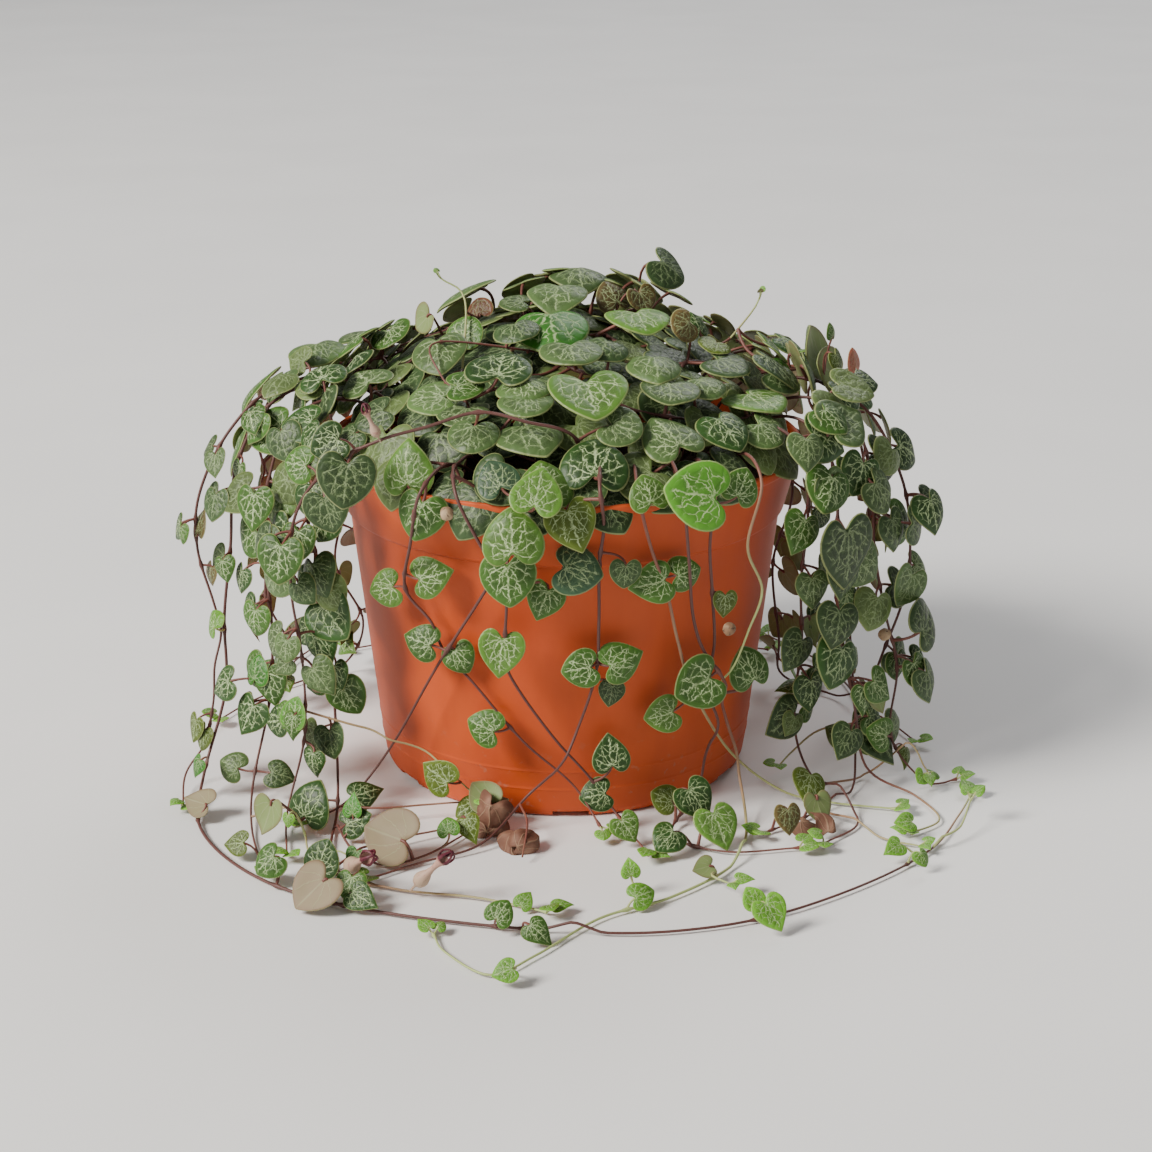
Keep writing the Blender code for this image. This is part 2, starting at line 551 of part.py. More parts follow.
def bvh(points, faces):
    return BVHTree.FromPolygons([tuple(point) for point in points], faces)


def place_leaves(routes, leaves, solids):
    """Gives each leaf to its nearest stem, moved out until it is clear; one with no room is left out."""
    names, dense = [], []
    for name, route in routes.items():
        for start, end in zip(route, route[1:]):
            count = max(1, round((end - start).length / MM))
            dense.append([start.lerp(end, (i + 0.5) / count) for i in range(count)])
            names += [name] * count
    tree = tree_of(dense)
    kept = {name: [] for name in routes}
    for notch, frame, width in leaves:
        near, index, _ = tree.find(notch - frame[1] * 2 * MM)
        owner = names[index]
        for lift in LEAF_LIFTS:
            spot = notch + frame[2] * lift * MM
            spot.z = max(spot.z, 2.5 * MM)
            if min(point.z for point in blade_shell(spot, frame, width)[0]) < 0.1 * MM:
                continue
            if (near - spot - frame[1] * 0.07 * width).length < 1.5 * MM:
                continue
            tested = [bvh(*blade_shell(spot, frame, width, LEAF_CLEARANCE)),
                      bvh(*stalk_shell(spot, frame, width, near, LEAF_CLEARANCE))]
            others = [solid for other, solid in solids if other != owner]
            if any(shape.overlap(solid) for solid in others for shape in tested):
                continue
            shells = [stalk_shell(spot, frame, width, near), blade_shell(spot, frame, width)]
            kept[owner].append(shells)
            solids += [(owner, bvh(*shell)) for shell in shells]
            break
    return kept


def simplified(route, slack):
    """The fewest points of the route that stay within the slack of it."""
    if len(route) < 3:
        return route
    line = route[-1] - route[0]
    worst, index = 0.0, 0
    for i, point in enumerate(route[1:-1], 1):
        share = max(0, min(1, (point - route[0]).dot(line) / line.length_squared))
        distance = (route[0] + line * share - point).length
        if distance > worst:
            worst, index = distance, i
    if worst <= slack:
        return [route[0], route[-1]]
    return simplified(route[:index + 1], slack)[:-1] + simplified(route[index:], slack)


def sound_volume(mesh):
    """The mesh's volume, or 0 where it isn't one closed surface."""
    if not mesh.polygons:
        return 0.0
    shape = bmesh.new()
    shape.from_mesh(mesh)
    bmesh.ops.remove_doubles(shape, verts=shape.verts, dist=0.001 * MM)
    shape.verts.ensure_lookup_table()
    closed = all(edge.is_manifold and edge.is_contiguous for edge in shape.edges)
    reached, front = set(), [shape.verts[0]]
    while front:
        vertex = front.pop()
        if vertex not in reached:
            reached.add(vertex)
            front += [edge.other_vert(vertex) for edge in vertex.link_edges]
    volume = shape.calc_volume(signed=True) if closed and len(reached) == len(shape.verts) else 0.0
    shape.free()
    return volume


def joined(shoot, shell, solver):
    """The shoot's mesh with one shell joined to it, or None where the union isn't one sound body."""
    piece = new_object("piece", *shell, "vine", helper=True)
    modifier = shoot.modifiers.new("piece", "BOOLEAN")
    modifier.operation = "UNION"
    modifier.solver = solver
    modifier.object = piece
    bpy.context.view_layer.update()
    mesh = bpy.data.meshes.new_from_object(shoot.evaluated_get(bpy.context.evaluated_depsgraph_get()))
    before, added, after = (sound_volume(each) for each in (shoot.data, piece.data, mesh))
    shoot.modifiers.clear()
    bpy.data.objects.remove(piece)
    return mesh if before + 0.3 * added < after < 1.01 * (before + added) else None


def joined_leaf(shoot, shells, solver):
    """The shoot's mesh with a leaf's stalk and blade joined to it, or None where either fails."""
    start = shoot.data
    for shell in shells:
        mesh = joined(shoot, shell, solver)
        if mesh is None:
            shoot.data = start
            return None
        shoot.data = mesh
    return shoot.data


# Solver and shift in millimetres of each try at joining a leaf.
UNION_TRIES = [("EXACT", 0), ("MANIFOLD", 0), ("EXACT", 0.13), ("MANIFOLD", 0.17),
               ("EXACT", -0.22), ("MANIFOLD", 0.31)]


def make_shoot(name, line, leaves):
    """One grown piece: the stem's tube with its leaves joined to it; a leaf that never joins is left out."""
    shoot = new_object(name, *tube_shell(line, STEM_R, STEM_SIDES), "vine")
    for shells in leaves:
        for solver, nudge in UNION_TRIES:
            shift = Vector((nudge, -0.7 * nudge, 0.4 * nudge)) * MM
            moved = [([point + shift for point in points], faces) for points, faces in shells]
            if joined_leaf(shoot, moved, solver):
                break


def make_turned_trim(name, profile, place, azimuth, lean, finish):
    """A small turned piece, its axis tilted from upright by the lean towards the azimuth."""
    points, faces = turned([(radius * MM, height * MM) for radius, height in profile], TRIM_SIDES)
    upright = Vector((math.cos(azimuth) * math.sin(lean), math.sin(azimuth) * math.sin(lean),
                      math.cos(lean)))
    turn = Vector((0, 0, 1)).rotation_difference(upright)
    made = new_object(name, [turn @ point + place for point in points], faces, finish)
    made.data.shade_smooth()


FLOWER_PROFILE = [(0, 0), (1.3, 0.5), (2.1, 2.2), (1.7, 4.2), (0.9, 6.0), (0.8, 9.0), (1.5, 11.0),
                  (2.0, 12.4), (1.2, 14.4), (0, 15.0)]
TUBER_PROFILE = [(0, -1.6), (1.2, -1.1), (1.7, 0.0), (1.2, 1.1), (0, 1.6)]


def make_trims():
    for i, (x, y, z, azimuth, lean, size) in enumerate(FLOWERS):
        profile = [(radius * size, height * size) for radius, height in FLOWER_PROFILE]
        make_turned_trim(f"flower_{i + 1}", profile, Vector((x, y, z)) * MM, math.radians(azimuth),
                         math.radians(lean), "flower")
    for i, place in enumerate(TUBERS):
        make_turned_trim(f"tuber_{i + 1}", TUBER_PROFILE, Vector(place) * MM, 0.0, 0.0, "tuber")
    for i, values in enumerate(DRY_LEAVES):
        notch, frame, width = placed_leaf(*values)
        points, faces = blade_shell(notch, frame, width)
        lift = Vector((0, 0, max(0.0, 0.15 * MM - min(point.z for point in points))))
        new_object(f"dry_leaf_{i + 1}", [point + lift for point in points], faces, "dry_leaf")


def shape_of(made):
    """An object's evaluated points and faces."""
    bpy.context.view_layer.update()
    evaluated = made.evaluated_get(bpy.context.evaluated_depsgraph_get())
    mesh = evaluated.to_mesh()
    points = [made.matrix_world @ vertex.co for vertex in mesh.vertices]
    faces = [tuple(polygon.vertices) for polygon in mesh.polygons]
    evaluated.to_mesh_clear()
    return points, faces


for old in list(bpy.data.objects):
    bpy.data.objects.remove(old)

make_pot()
make_soil()
make_trims()
fixed = [(made.name, bvh(*shape_of(made))) for made in list(bpy.context.scene.collection.objects)
         if not made.hide_render]

stems = all_routes()
hand_placed = [placed_leaf(*values) for values in CROWN_LEAVES + FRONT_LEAVES + SIDE_LEAVES + FLOOR_LEAVES]
leaves = list(hand_placed)
for name, route in stems.items():
    if name.startswith("vine_rear"):
        leaves += paired_leaves(route, *REAR_PAIRS)
    elif name.startswith(("vine_left", "vine_right")):
        leaves += paired_leaves(route, *SIDE_PAIRS)
leaves += mound_leaves(hand_placed)
lines = {name: simplified(route, STEM_SLACK) for name, route in stems.items()}
solids = list(fixed)
for name, line in lines.items():
    solids.append((name, bvh(*tube_shell(line, STEM_R + LEAF_CLEARANCE, STEM_SIDES))))
shoot_leaves = place_leaves(lines, leaves, solids)
for name, line in lines.items():
    make_shoot(name, line, shoot_leaves[name])
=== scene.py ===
import json
import math
import random

import bmesh
import bpy
from mathutils import Matrix, Vector, kdtree, noise
from mathutils.bvhtree import BVHTree

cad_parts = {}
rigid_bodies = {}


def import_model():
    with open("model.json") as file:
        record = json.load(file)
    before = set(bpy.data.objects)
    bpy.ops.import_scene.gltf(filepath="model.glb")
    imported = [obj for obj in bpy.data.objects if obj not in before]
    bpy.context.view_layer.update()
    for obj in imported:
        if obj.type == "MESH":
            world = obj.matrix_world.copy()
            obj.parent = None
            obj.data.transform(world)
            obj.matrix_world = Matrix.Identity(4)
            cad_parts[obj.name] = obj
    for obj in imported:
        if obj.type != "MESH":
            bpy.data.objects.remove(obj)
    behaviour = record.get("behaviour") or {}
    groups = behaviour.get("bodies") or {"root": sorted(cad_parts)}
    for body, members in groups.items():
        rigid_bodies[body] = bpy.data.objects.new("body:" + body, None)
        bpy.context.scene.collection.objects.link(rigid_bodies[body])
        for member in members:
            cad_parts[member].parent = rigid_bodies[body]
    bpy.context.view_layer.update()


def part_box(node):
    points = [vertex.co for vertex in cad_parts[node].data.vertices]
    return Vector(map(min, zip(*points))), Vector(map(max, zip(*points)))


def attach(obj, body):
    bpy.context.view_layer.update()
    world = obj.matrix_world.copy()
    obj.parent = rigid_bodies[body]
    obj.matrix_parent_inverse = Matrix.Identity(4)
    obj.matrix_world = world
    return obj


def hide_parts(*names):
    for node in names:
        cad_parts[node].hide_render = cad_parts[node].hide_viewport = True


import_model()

# ---------------------------------------------------------------------------------------------------
# Studio: the camera stands in front of the pot and looks a little down on it. One large soft lamp
# stands at the left, a weak one at the right and one behind, and the room is pale.

CAMERA_HEIGHT = 0.246
CAMERA_BACK = 0.572
CAMERA_PITCH = 19.2
LENS = 73.0


def in_scene(name, data):
    """A new object of this name and data, linked to the scene."""
    made = bpy.data.objects.new(name, data)
    bpy.context.scene.collection.objects.link(made)
    return made


camera = in_scene("camera", bpy.data.cameras.new("camera"))
camera.location = (0, -CAMERA_BACK, CAMERA_HEIGHT)
camera.rotation_euler = (math.radians(90 - CAMERA_PITCH), 0, 0)
camera.data.lens = LENS
camera.data.sensor_width = 36
camera.data.shift_x = 0.0098
camera.data.clip_start = 0.01
bpy.context.scene.camera = camera


def soft_lamp(name, place, size, power, colour):
    data = bpy.data.lights.new(name, "AREA")
    data.shape = "DISK"
    data.size = size
    data.energy = power
    data.color = colour
    lamp = in_scene(name, data)
    lamp.location = place
    lamp.rotation_euler = (Vector((0, 0, 0.06)) - Vector(place)).to_track_quat("-Z", "Y").to_euler()


soft_lamp("key_lamp", (-1.9, -0.95, 1.7), 1.0, 126, (1.0, 0.955, 0.885))
soft_lamp("fill_lamp", (1.6, -1.8, 1.2), 1.6, 2.5, (1.0, 0.99, 0.97))
soft_lamp("rear_lamp", (0.9, 2.4, 2.2), 1.4, 34, (1.0, 1.0, 1.0))

room = bpy.data.worlds.new("room")
room.use_nodes = True
room.node_tree.nodes["Background"].inputs["Color"].default_value = (1.0, 1.0, 1.0, 1)
room.node_tree.nodes["Background"].inputs["Strength"].default_value = 0.27
bpy.context.scene.world = room


# ---------------------------------------------------------------------------------------------------
# Floor: the plain pale surface that the pot stands on, with a faint mottle. It isn't part of the plant.

class Wire:
    """A socket of a node tree. Arithmetic on it adds Math nodes, and node() adds any other node."""

    def __init__(self, tree, socket=None):
        self.tree = tree
        self.socket = socket

    def node(self, kind, settings=None, sockets=None, output=0):
        made = self.tree.nodes.new(kind)
        for name, value in (settings or {}).items():
            if name == "stops":
                while len(made.color_ramp.elements) < len(value):
                    made.color_ramp.elements.new(0.5)
                for element, (place, colour) in zip(made.color_ramp.elements, value):
                    element.position = place
                    element.color = (*colour, 1)
            else:
                setattr(made, name, value)
        for key, value in (sockets or {}).items():
            if isinstance(value, Wire):
                self.tree.links.new(value.socket, made.inputs[key])
            else:
                made.inputs[key].default_value = value
        return Wire(self.tree, made.outputs[output] if made.outputs else None)

    def out(self, name):
        return Wire(self.tree, self.socket.node.outputs[name])

    def math(self, operation, *values):
        return self.node("ShaderNodeMath", {"operation": operation}, dict(enumerate(values)))

    def __add__(self, other):
        return self.math("ADD", self, other)

    def __radd__(self, other):
        return self.math("ADD", other, self)

    def __sub__(self, other):
        return self.math("SUBTRACT", self, other)

    def __rsub__(self, other):
        return self.math("SUBTRACT", other, self)

    def __mul__(self, other):
        return self.math("MULTIPLY", self, other)

    def __rmul__(self, other):
        return self.math("MULTIPLY", other, self)

    def __abs__(self):
        return self.math("ABSOLUTE", self)

    def larger(self, other):
        return self.math("MAXIMUM", self, other)

    def between(self, low, high):
        """0 below low, 1 above high and a smooth step between them; high may be under low."""
        first, last, start, end = (low, high, 0.0, 1.0) if low < high else (high, low, 1.0, 0.0)
        return self.node("ShaderNodeMapRange", {"interpolation_type": "SMOOTHSTEP"},
                         {"Value": self, "From Min": first, "From Max": last,
                          "To Min": start, "To Max": end})

    def mix(self, first, second):
        """The colour between first and second, with this wire as the factor."""
        ends = {key: value if isinstance(value, Wire) else (*value, 1)
                for key, value in (("A_Color", first), ("B_Color", second))}
        made = self.tree.nodes.new("ShaderNodeMix")
        made.data_type = "RGBA"
        self.tree.links.new(self.socket, made.inputs[0])
        for identifier, value in ends.items():
            socket = next(each for each in made.inputs if each.identifier == identifier)
            if isinstance(value, Wire):
                self.tree.links.new(value.socket, socket)
            else:
                socket.default_value = value
        return Wire(self.tree, next(each for each in made.outputs if each.identifier == "Result_Color"))

    def times(self, factor):
        """A colour or vector times a number."""
        return self.node("ShaderNodeVectorMath", {"operation": "SCALE"}, {0: self, "Scale": factor})

    def moved(self, other):
        """A vector plus another."""
        return self.node("ShaderNodeVectorMath", {"operation": "ADD"}, {0: self, 1: other})


def new_material(name, **constants):
    """A material, the wire that starts its nodes, and its shader; the constants are set on the shader."""
    made = bpy.data.materials.new(name)
    made.use_nodes = True
    shader = made.node_tree.nodes["Principled BSDF"]
    for socket, value in constants.items():
        shader.inputs[socket.replace("_", " ")].default_value = value
    return made, Wire(made.node_tree), shader


def feed(shader, **wires):
    """Links wires to a shader's sockets."""
    for socket, wire in wires.items():
        wire.tree.links.new(wire.socket, shader.inputs[socket.replace("_", " ")])


def speckle(start, place, scale, detail=2.0, output="Fac"):
    """Noise at a place."""
    sockets = {"Vector": place, "Scale": scale, "Detail": detail}
    return start.node("ShaderNodeTexNoise", None, sockets, output)


def bumped(height, strength, distance):
    """The normal that a height gives."""
    sockets = {"Height": height, "Strength": strength, "Distance": distance}
    return height.node("ShaderNodeBump", None, sockets, "Normal")


def mesh_object(name, points, faces, *materials):
    mesh = bpy.data.meshes.new(name)
    mesh.from_pydata([tuple(point) for point in points], [], faces)
    for each in materials:
        mesh.materials.append(each)
    return in_scene(name, mesh)


FLOOR_HALF = 4.0
pale, start, shader = new_material("pale_floor", Roughness=0.6)
place = start.node("ShaderNodeTexCoord", output="Object")
mottle = speckle(start, place, 9.0).between(0.2, 0.8)
feed(shader, Base_Color=mottle.mix((0.83, 0.83, 0.83), (0.87, 0.87, 0.87)))
corners = [(x, y, 0) for y in (-FLOOR_HALF, FLOOR_HALF) for x in (-FLOOR_HALF, FLOOR_HALF)]
floor = mesh_object("floor", corners, [(0, 1, 3, 2)], pale)


# ---------------------------------------------------------------------------------------------------
# Pot: a nursery pot blown and moulded in terracotta-coloured polypropylene. A collar flares out over a
# small step to a thin rolled lip; the foot has drain holes and notches, and faint mould rings above it.

MM = 0.001
POT_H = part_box("pot")[1].z
RIM_R = 60.0 * MM
COLLAR_Z = 68.5 * MM
COLLAR_R = 55.9 * MM
WALL_TOP_R = 54.9 * MM
FOOT_R = 47.2 * MM
POT_WALL = 1.4 * MM
POT_FLOOR_Z = 3.7 * MM
POT_SIDES = 144
DRAIN_HOLES = 8
DRAIN_RING_R = 29.0 * MM
DRAIN_R = 3.5 * MM
NOTCHES = 6
NOTCH_WIDTH, NOTCH_DEPTH, NOTCH_HEIGHT = 9.0 * MM, 12.0 * MM, 1.7 * MM
MOULD_RINGS = (7.5, 12.5)


def turned(profile, sides):
    """Points and faces of a profile turned about Z; the profile starts and ends on the axis."""
    points = [Vector((0, 0, profile[0][1])), Vector((0, 0, profile[-1][1]))]
    rings = []
    for radius, height in profile[1:-1]:
        rings.append(list(range(len(points), len(points) + sides)))
        for i in range(sides):
            angle = 2 * math.pi * i / sides
            points.append(Vector((radius * math.cos(angle), radius * math.sin(angle), height)))
    faces = []
    for i in range(sides):
        j = (i + 1) % sides
        faces.append((0, rings[0][j], rings[0][i]))
        faces.append((1, rings[-1][i], rings[-1][j]))
        for low, high in zip(rings, rings[1:]):
            faces.append((low[i], low[j], high[j], high[i]))
    return points, faces


def rounded(profile, radius):
    """The profile with each corner between its ends replaced by a short arc."""
    path = [Vector(point) for point in profile]
    smooth = [path[0]]
    for before, corner, after in zip(path, path[1:], path[2:]):
        back, on = before - corner, after - corner
        reach = min(radius, 0.45 * back.length, 0.45 * on.length)
        first, last = corner + back.normalized() * reach, corner + on.normalized() * reach
        for share in (0.0, 0.33, 0.67, 1.0):
            smooth.append(first.lerp(corner, share).lerp(corner.lerp(last, share), share))
    return smooth + [path[-1]]


def pot_wall_radius(z):
    return FOOT_R + (WALL_TOP_R - FOOT_R) * z / COLLAR_Z


def pot_profile():
    lip = 2.4 * MM
    outer = [(14, 0), (14.4, 2.2), (41, 2.2), (41.4, 0)]
    path = [(0, 0)] + [(x * MM, z * MM) for x, z in outer]
    path += [(FOOT_R - 2.0 * MM, 0), (FOOT_R - 0.6 * MM, 0.5 * MM), (FOOT_R, 2.0 * MM)]
    for height in MOULD_RINGS:
        low = height * MM
        path += [(pot_wall_radius(low), low), (pot_wall_radius(low) + 0.14 * MM, low + 0.3 * MM),
                 (pot_wall_radius(low) + 0.03 * MM, low + 0.9 * MM)]
    path += [(WALL_TOP_R, COLLAR_Z - 0.4 * MM), (COLLAR_R, COLLAR_Z),
             (RIM_R - 0.6 * MM, POT_H - lip), (RIM_R + 0.3 * MM, POT_H - 0.8 * lip),
             (RIM_R + 0.3 * MM, POT_H - 0.3 * MM), (RIM_R - 0.1 * MM, POT_H),
             (RIM_R - POT_WALL, POT_H), (RIM_R - POT_WALL - 0.3 * MM, POT_H - 1.0 * MM),
             (COLLAR_R - POT_WALL + 0.2 * MM, COLLAR_Z + 1.5 * MM),
             (WALL_TOP_R - POT_WALL, COLLAR_Z + 0.6 * MM),
             (FOOT_R - POT_WALL, POT_FLOOR_Z + 0.6 * MM), (FOOT_R - 2.6 * MM, POT_FLOOR_Z), (0, POT_FLOOR_Z)]
    return rounded(path, 0.5 * MM)


def cut(target, points, faces):
    """Cuts a closed shape out of the target, for good."""
    cutter = mesh_object("cutter", points, faces)
    modifier = target.modifiers.new("cut", "BOOLEAN")
    modifier.operation = "DIFFERENCE"
    modifier.solver = "EXACT"
    modifier.object = cutter
    bpy.context.view_layer.update()
    mesh = bpy.data.meshes.new_from_object(target.evaluated_get(bpy.context.evaluated_depsgraph_get()))
    target.modifiers.remove(modifier)
    target.data = mesh
    bpy.data.objects.remove(cutter)


def box_shape(size, centre, turn):
    """A box's corners and faces, its centre given and then turned about Z with it."""
    corners = [Vector((x * size[0], y * size[1], z * size[2])) + Vector(centre)
               for x in (-0.5, 0.5) for y in (-0.5, 0.5) for z in (-0.5, 0.5)]
    faces = [(0, 1, 3, 2), (4, 6, 7, 5), (0, 4, 5, 1), (2, 3, 7, 6), (0, 2, 6, 4), (1, 5, 7, 3)]
    return [Matrix.Rotation(turn, 4, "Z") @ corner for corner in corners], faces


plastic, start, shader = new_material("pot_plastic", Metallic=0.0, Specular_IOR_Level=0.28)
place = start.node("ShaderNodeTexCoord", output="Object")
height = start.node("ShaderNodeSeparateXYZ", None, {"Vector": place}, "Z")
clouds = speckle(start, place, 22.0, 4.0)
drawn_down = start.node("ShaderNodeMapping", None, {"Vector": place, "Scale": (1, 1, 0.12)})
streaks = speckle(start, drawn_down, 160.0, 3.0)
grain = speckle(start, place, 1500.0, 2.0)
dust = speckle(start, place, 420.0, 5.0).between(0.62, 0.72) * height.between(0.03, 0.0)
orange = clouds.between(0.3, 0.7).mix((0.50, 0.070, 0.014), (0.57, 0.088, 0.018))
orange = (streaks.between(0.35, 0.8) * 0.35).mix(orange, (0.42, 0.052, 0.013))
orange = (dust * 0.45).mix(orange, (0.36, 0.22, 0.15))
gloss = 0.44 + clouds * 0.12 + grain * 0.06 + dust * 0.2
feed(shader, Base_Color=orange, Roughness=gloss, Normal=bumped(grain * 0.6 + streaks * 0.4, 0.10, 0.0003))

pot = mesh_object("nursery_pot", *turned(pot_profile(), POT_SIDES), plastic)
for i in range(DRAIN_HOLES):
    angle = 2 * math.pi * (i + 0.37) / DRAIN_HOLES
    centre = Vector((math.cos(angle), math.sin(angle), 0)) * DRAIN_RING_R
    points, faces = turned([(0, -MM), (DRAIN_R, -MM), (DRAIN_R, 8 * MM), (0, 8 * MM)], 32)
    cut(pot, [point + centre for point in points], faces)
for i in range(NOTCHES):
    angle = 2 * math.pi * (i + 0.53) / NOTCHES
    cut(pot, *box_shape((NOTCH_DEPTH, NOTCH_WIDTH, 2 * NOTCH_HEIGHT), (FOOT_R - 2 * MM, 0, 0), angle))
pot.data.shade_smooth()
pot.data.set_sharp_from_angle(angle=math.radians(40))
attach(pot, "root")
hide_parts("pot")


# ---------------------------------------------------------------------------------------------------
# Growing mix: dark peat with crumbs of bark and a few pale grains of perlite. It fills the pot to a
# little under the collar's middle, and its top is uneven.

SOIL_LOW, SOIL_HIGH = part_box("soil")
SOIL_TOP = SOIL_HIGH.z
SOIL_R = SOIL_HIGH.x
CRUMB_DENSITY = 160000.0
CRUMB_SIZE = 1.5 * MM

peat, start, shader = new_material("growing_mix", Metallic=0.0)
place = start.node("ShaderNodeTexCoord", output="Object")
coarse, fine = speckle(start, place, 260.0, 4.0), speckle(start, place, 1300.0, 3.0)
brown = coarse.between(0.35, 0.65).mix((0.012, 0.008, 0.006), (0.055, 0.032, 0.02))
brown = fine.between(0.66, 0.74).mix(brown, (0.16, 0.11, 0.07))
feed(shader, Base_Color=brown, Roughness=0.8 + fine * 0.18, Normal=bumped(coarse + fine * 0.5, 0.8, 0.0008))


def finished(host, tree, values):
    """Turns the host into the plain mesh that a node tree makes of it; values are its inputs by name."""
    modifier = host.modifiers.new(tree.name, "NODES")
    modifier.node_group = tree
    for item in tree.interface.items_tree:
        if item.name in values and item.in_out == "INPUT":
            modifier[item.identifier] = values[item.name]
    bpy.context.view_layer.update()
    mesh = bpy.data.meshes.new_from_object(host.evaluated_get(bpy.context.evaluated_depsgraph_get()))
    host.modifiers.remove(modifier)
    host.data = mesh
    return host


def new_tree(name, **sockets):
    """A Geometry Nodes tree and the wire of its geometry; the sockets are its other inputs' kinds."""
    tree = bpy.data.node_groups.new(name, "GeometryNodeTree")
    tree.interface.new_socket("Geometry", in_out="INPUT", socket_type="NodeSocketGeometry")
    tree.interface.new_socket("Geometry", in_out="OUTPUT", socket_type="NodeSocketGeometry")
    for label, kind in sockets.items():
        tree.interface.new_socket(label.replace("_", " "), in_out="INPUT", socket_type="NodeSocket" + kind)
    return tree, Wire(tree).node("NodeGroupInput", output="Geometry")


def end_tree(wire):
    wire.node("NodeGroupOutput", None, {0: wire})


def named(wire, name, kind="FLOAT"):
    return wire.node("GeometryNodeInputNamedAttribute", {"data_type": kind}, {"Name": name}, "Attribute")


crumb_tree, ground = new_tree("mix_crumbs", Density="Float", Crumb_Size="Float", Seed="Int",
                              Finish="Material")
points = ground.node("GeometryNodeDistributePointsOnFaces", {"distribute_method": "RANDOM"},
                     {"Mesh": ground, "Density": ground.out("Density"), "Seed": ground.out("Seed"),
                      "Selection": named(ground, "top")}, "Points")
crumb = ground.node("GeometryNodeMeshIcoSphere", None, {"Radius": 0.5, "Subdivisions": 1}, "Mesh")
spread = ground.node("FunctionNodeRandomValue", {"data_type": "FLOAT_VECTOR"},
                     {0: (0.35, 0.35, 0.3), 1: (1.2, 0.9, 0.7), "Seed": ground.out("Seed")})
turn = ground.node("FunctionNodeRandomValue", {"data_type": "FLOAT_VECTOR"},
                   {1: (6.28, 6.28, 6.28), "Seed": 4})
placed = ground.node("GeometryNodeInstanceOnPoints", None,
                     {"Points": points, "Instance": crumb, "Rotation": turn,
                      "Scale": spread.times(ground.out("Crumb Size"))})
joined = ground.node("GeometryNodeRealizeInstances", None, {"Geometry": placed})
end_tree(ground.node("GeometryNodeSetMaterial", None,
                     {"Geometry": joined, "Material": ground.out("Finish")}))


def soil_profile():
    rings = [(share * SOIL_R, SOIL_TOP) for share in (0.95, 0.88, 0.8, 0.7, 0.6, 0.5, 0.4, 0.3, 0.2, 0.1)]
    side = [(0, SOIL_LOW.z), (FOOT_R - POT_WALL - 2.4 * MM, SOIL_LOW.z),
            (FOOT_R - POT_WALL - 0.4 * MM, SOIL_LOW.z + 1.2 * MM),
            (WALL_TOP_R - POT_WALL - 0.4 * MM, COLLAR_Z + 0.2 * MM), (SOIL_R - MM, COLLAR_Z + 3 * MM),
            (SOIL_R, SOIL_TOP - 0.8 * MM)]
    return side + rings + [(0, SOIL_TOP)]


def keep(mesh, label, kind, numbers, domain="POINT"):
    """Keeps numbers on a mesh as an attribute of its points or faces."""
    field = {"FLOAT_VECTOR": "vector", "FLOAT_COLOR": "color"}.get(kind, "value")
    mesh.attributes.new(label, kind, domain).data.foreach_set(field, numbers)


points, faces = turned(soil_profile(), 72)
for point in points:
    if point.z > SOIL_TOP - 0.1 * MM:
        point.z -= 1.1 * MM * (1 + noise.noise(point * 90))
soil = mesh_object("growing_mix", points, faces, peat)
soil.data.shade_smooth()
keep(soil.data, "top", "BOOLEAN", [polygon.normal.z > 0.6 for polygon in soil.data.polygons], "FACE")
crumbs = in_scene("mix_crumbs", soil.data.copy())
finished(crumbs, crumb_tree, {"Density": CRUMB_DENSITY, "Crumb Size": CRUMB_SIZE, "Seed": 3, "Finish": peat})
for piece in (soil, crumbs):
    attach(piece, "root")
    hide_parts("soil")


# ---------------------------------------------------------------------------------------------------
# Stems: thin trailing stems that rise from the mix, cross the rim and hang or lie where they end. Old
# stems are purple-brown and young ends are pale green. Each keeps clear of the pot and of the others.

STEM_R = 0.42 * MM
STEM_TIP_R = 0.24 * MM
STALK_R = 0.33 * MM
STEM_GAP = 2.3 * MM
ROUTE_STEP = 1.5 * MM
POT_CLEARANCE = 1.3 * MM
MOUND_TOP = 119.0 * MM
MOUND_BACK = 14.0 * MM
MOUND_FALL = 33.0 * MM
MOUND_R = 74.0 * MM

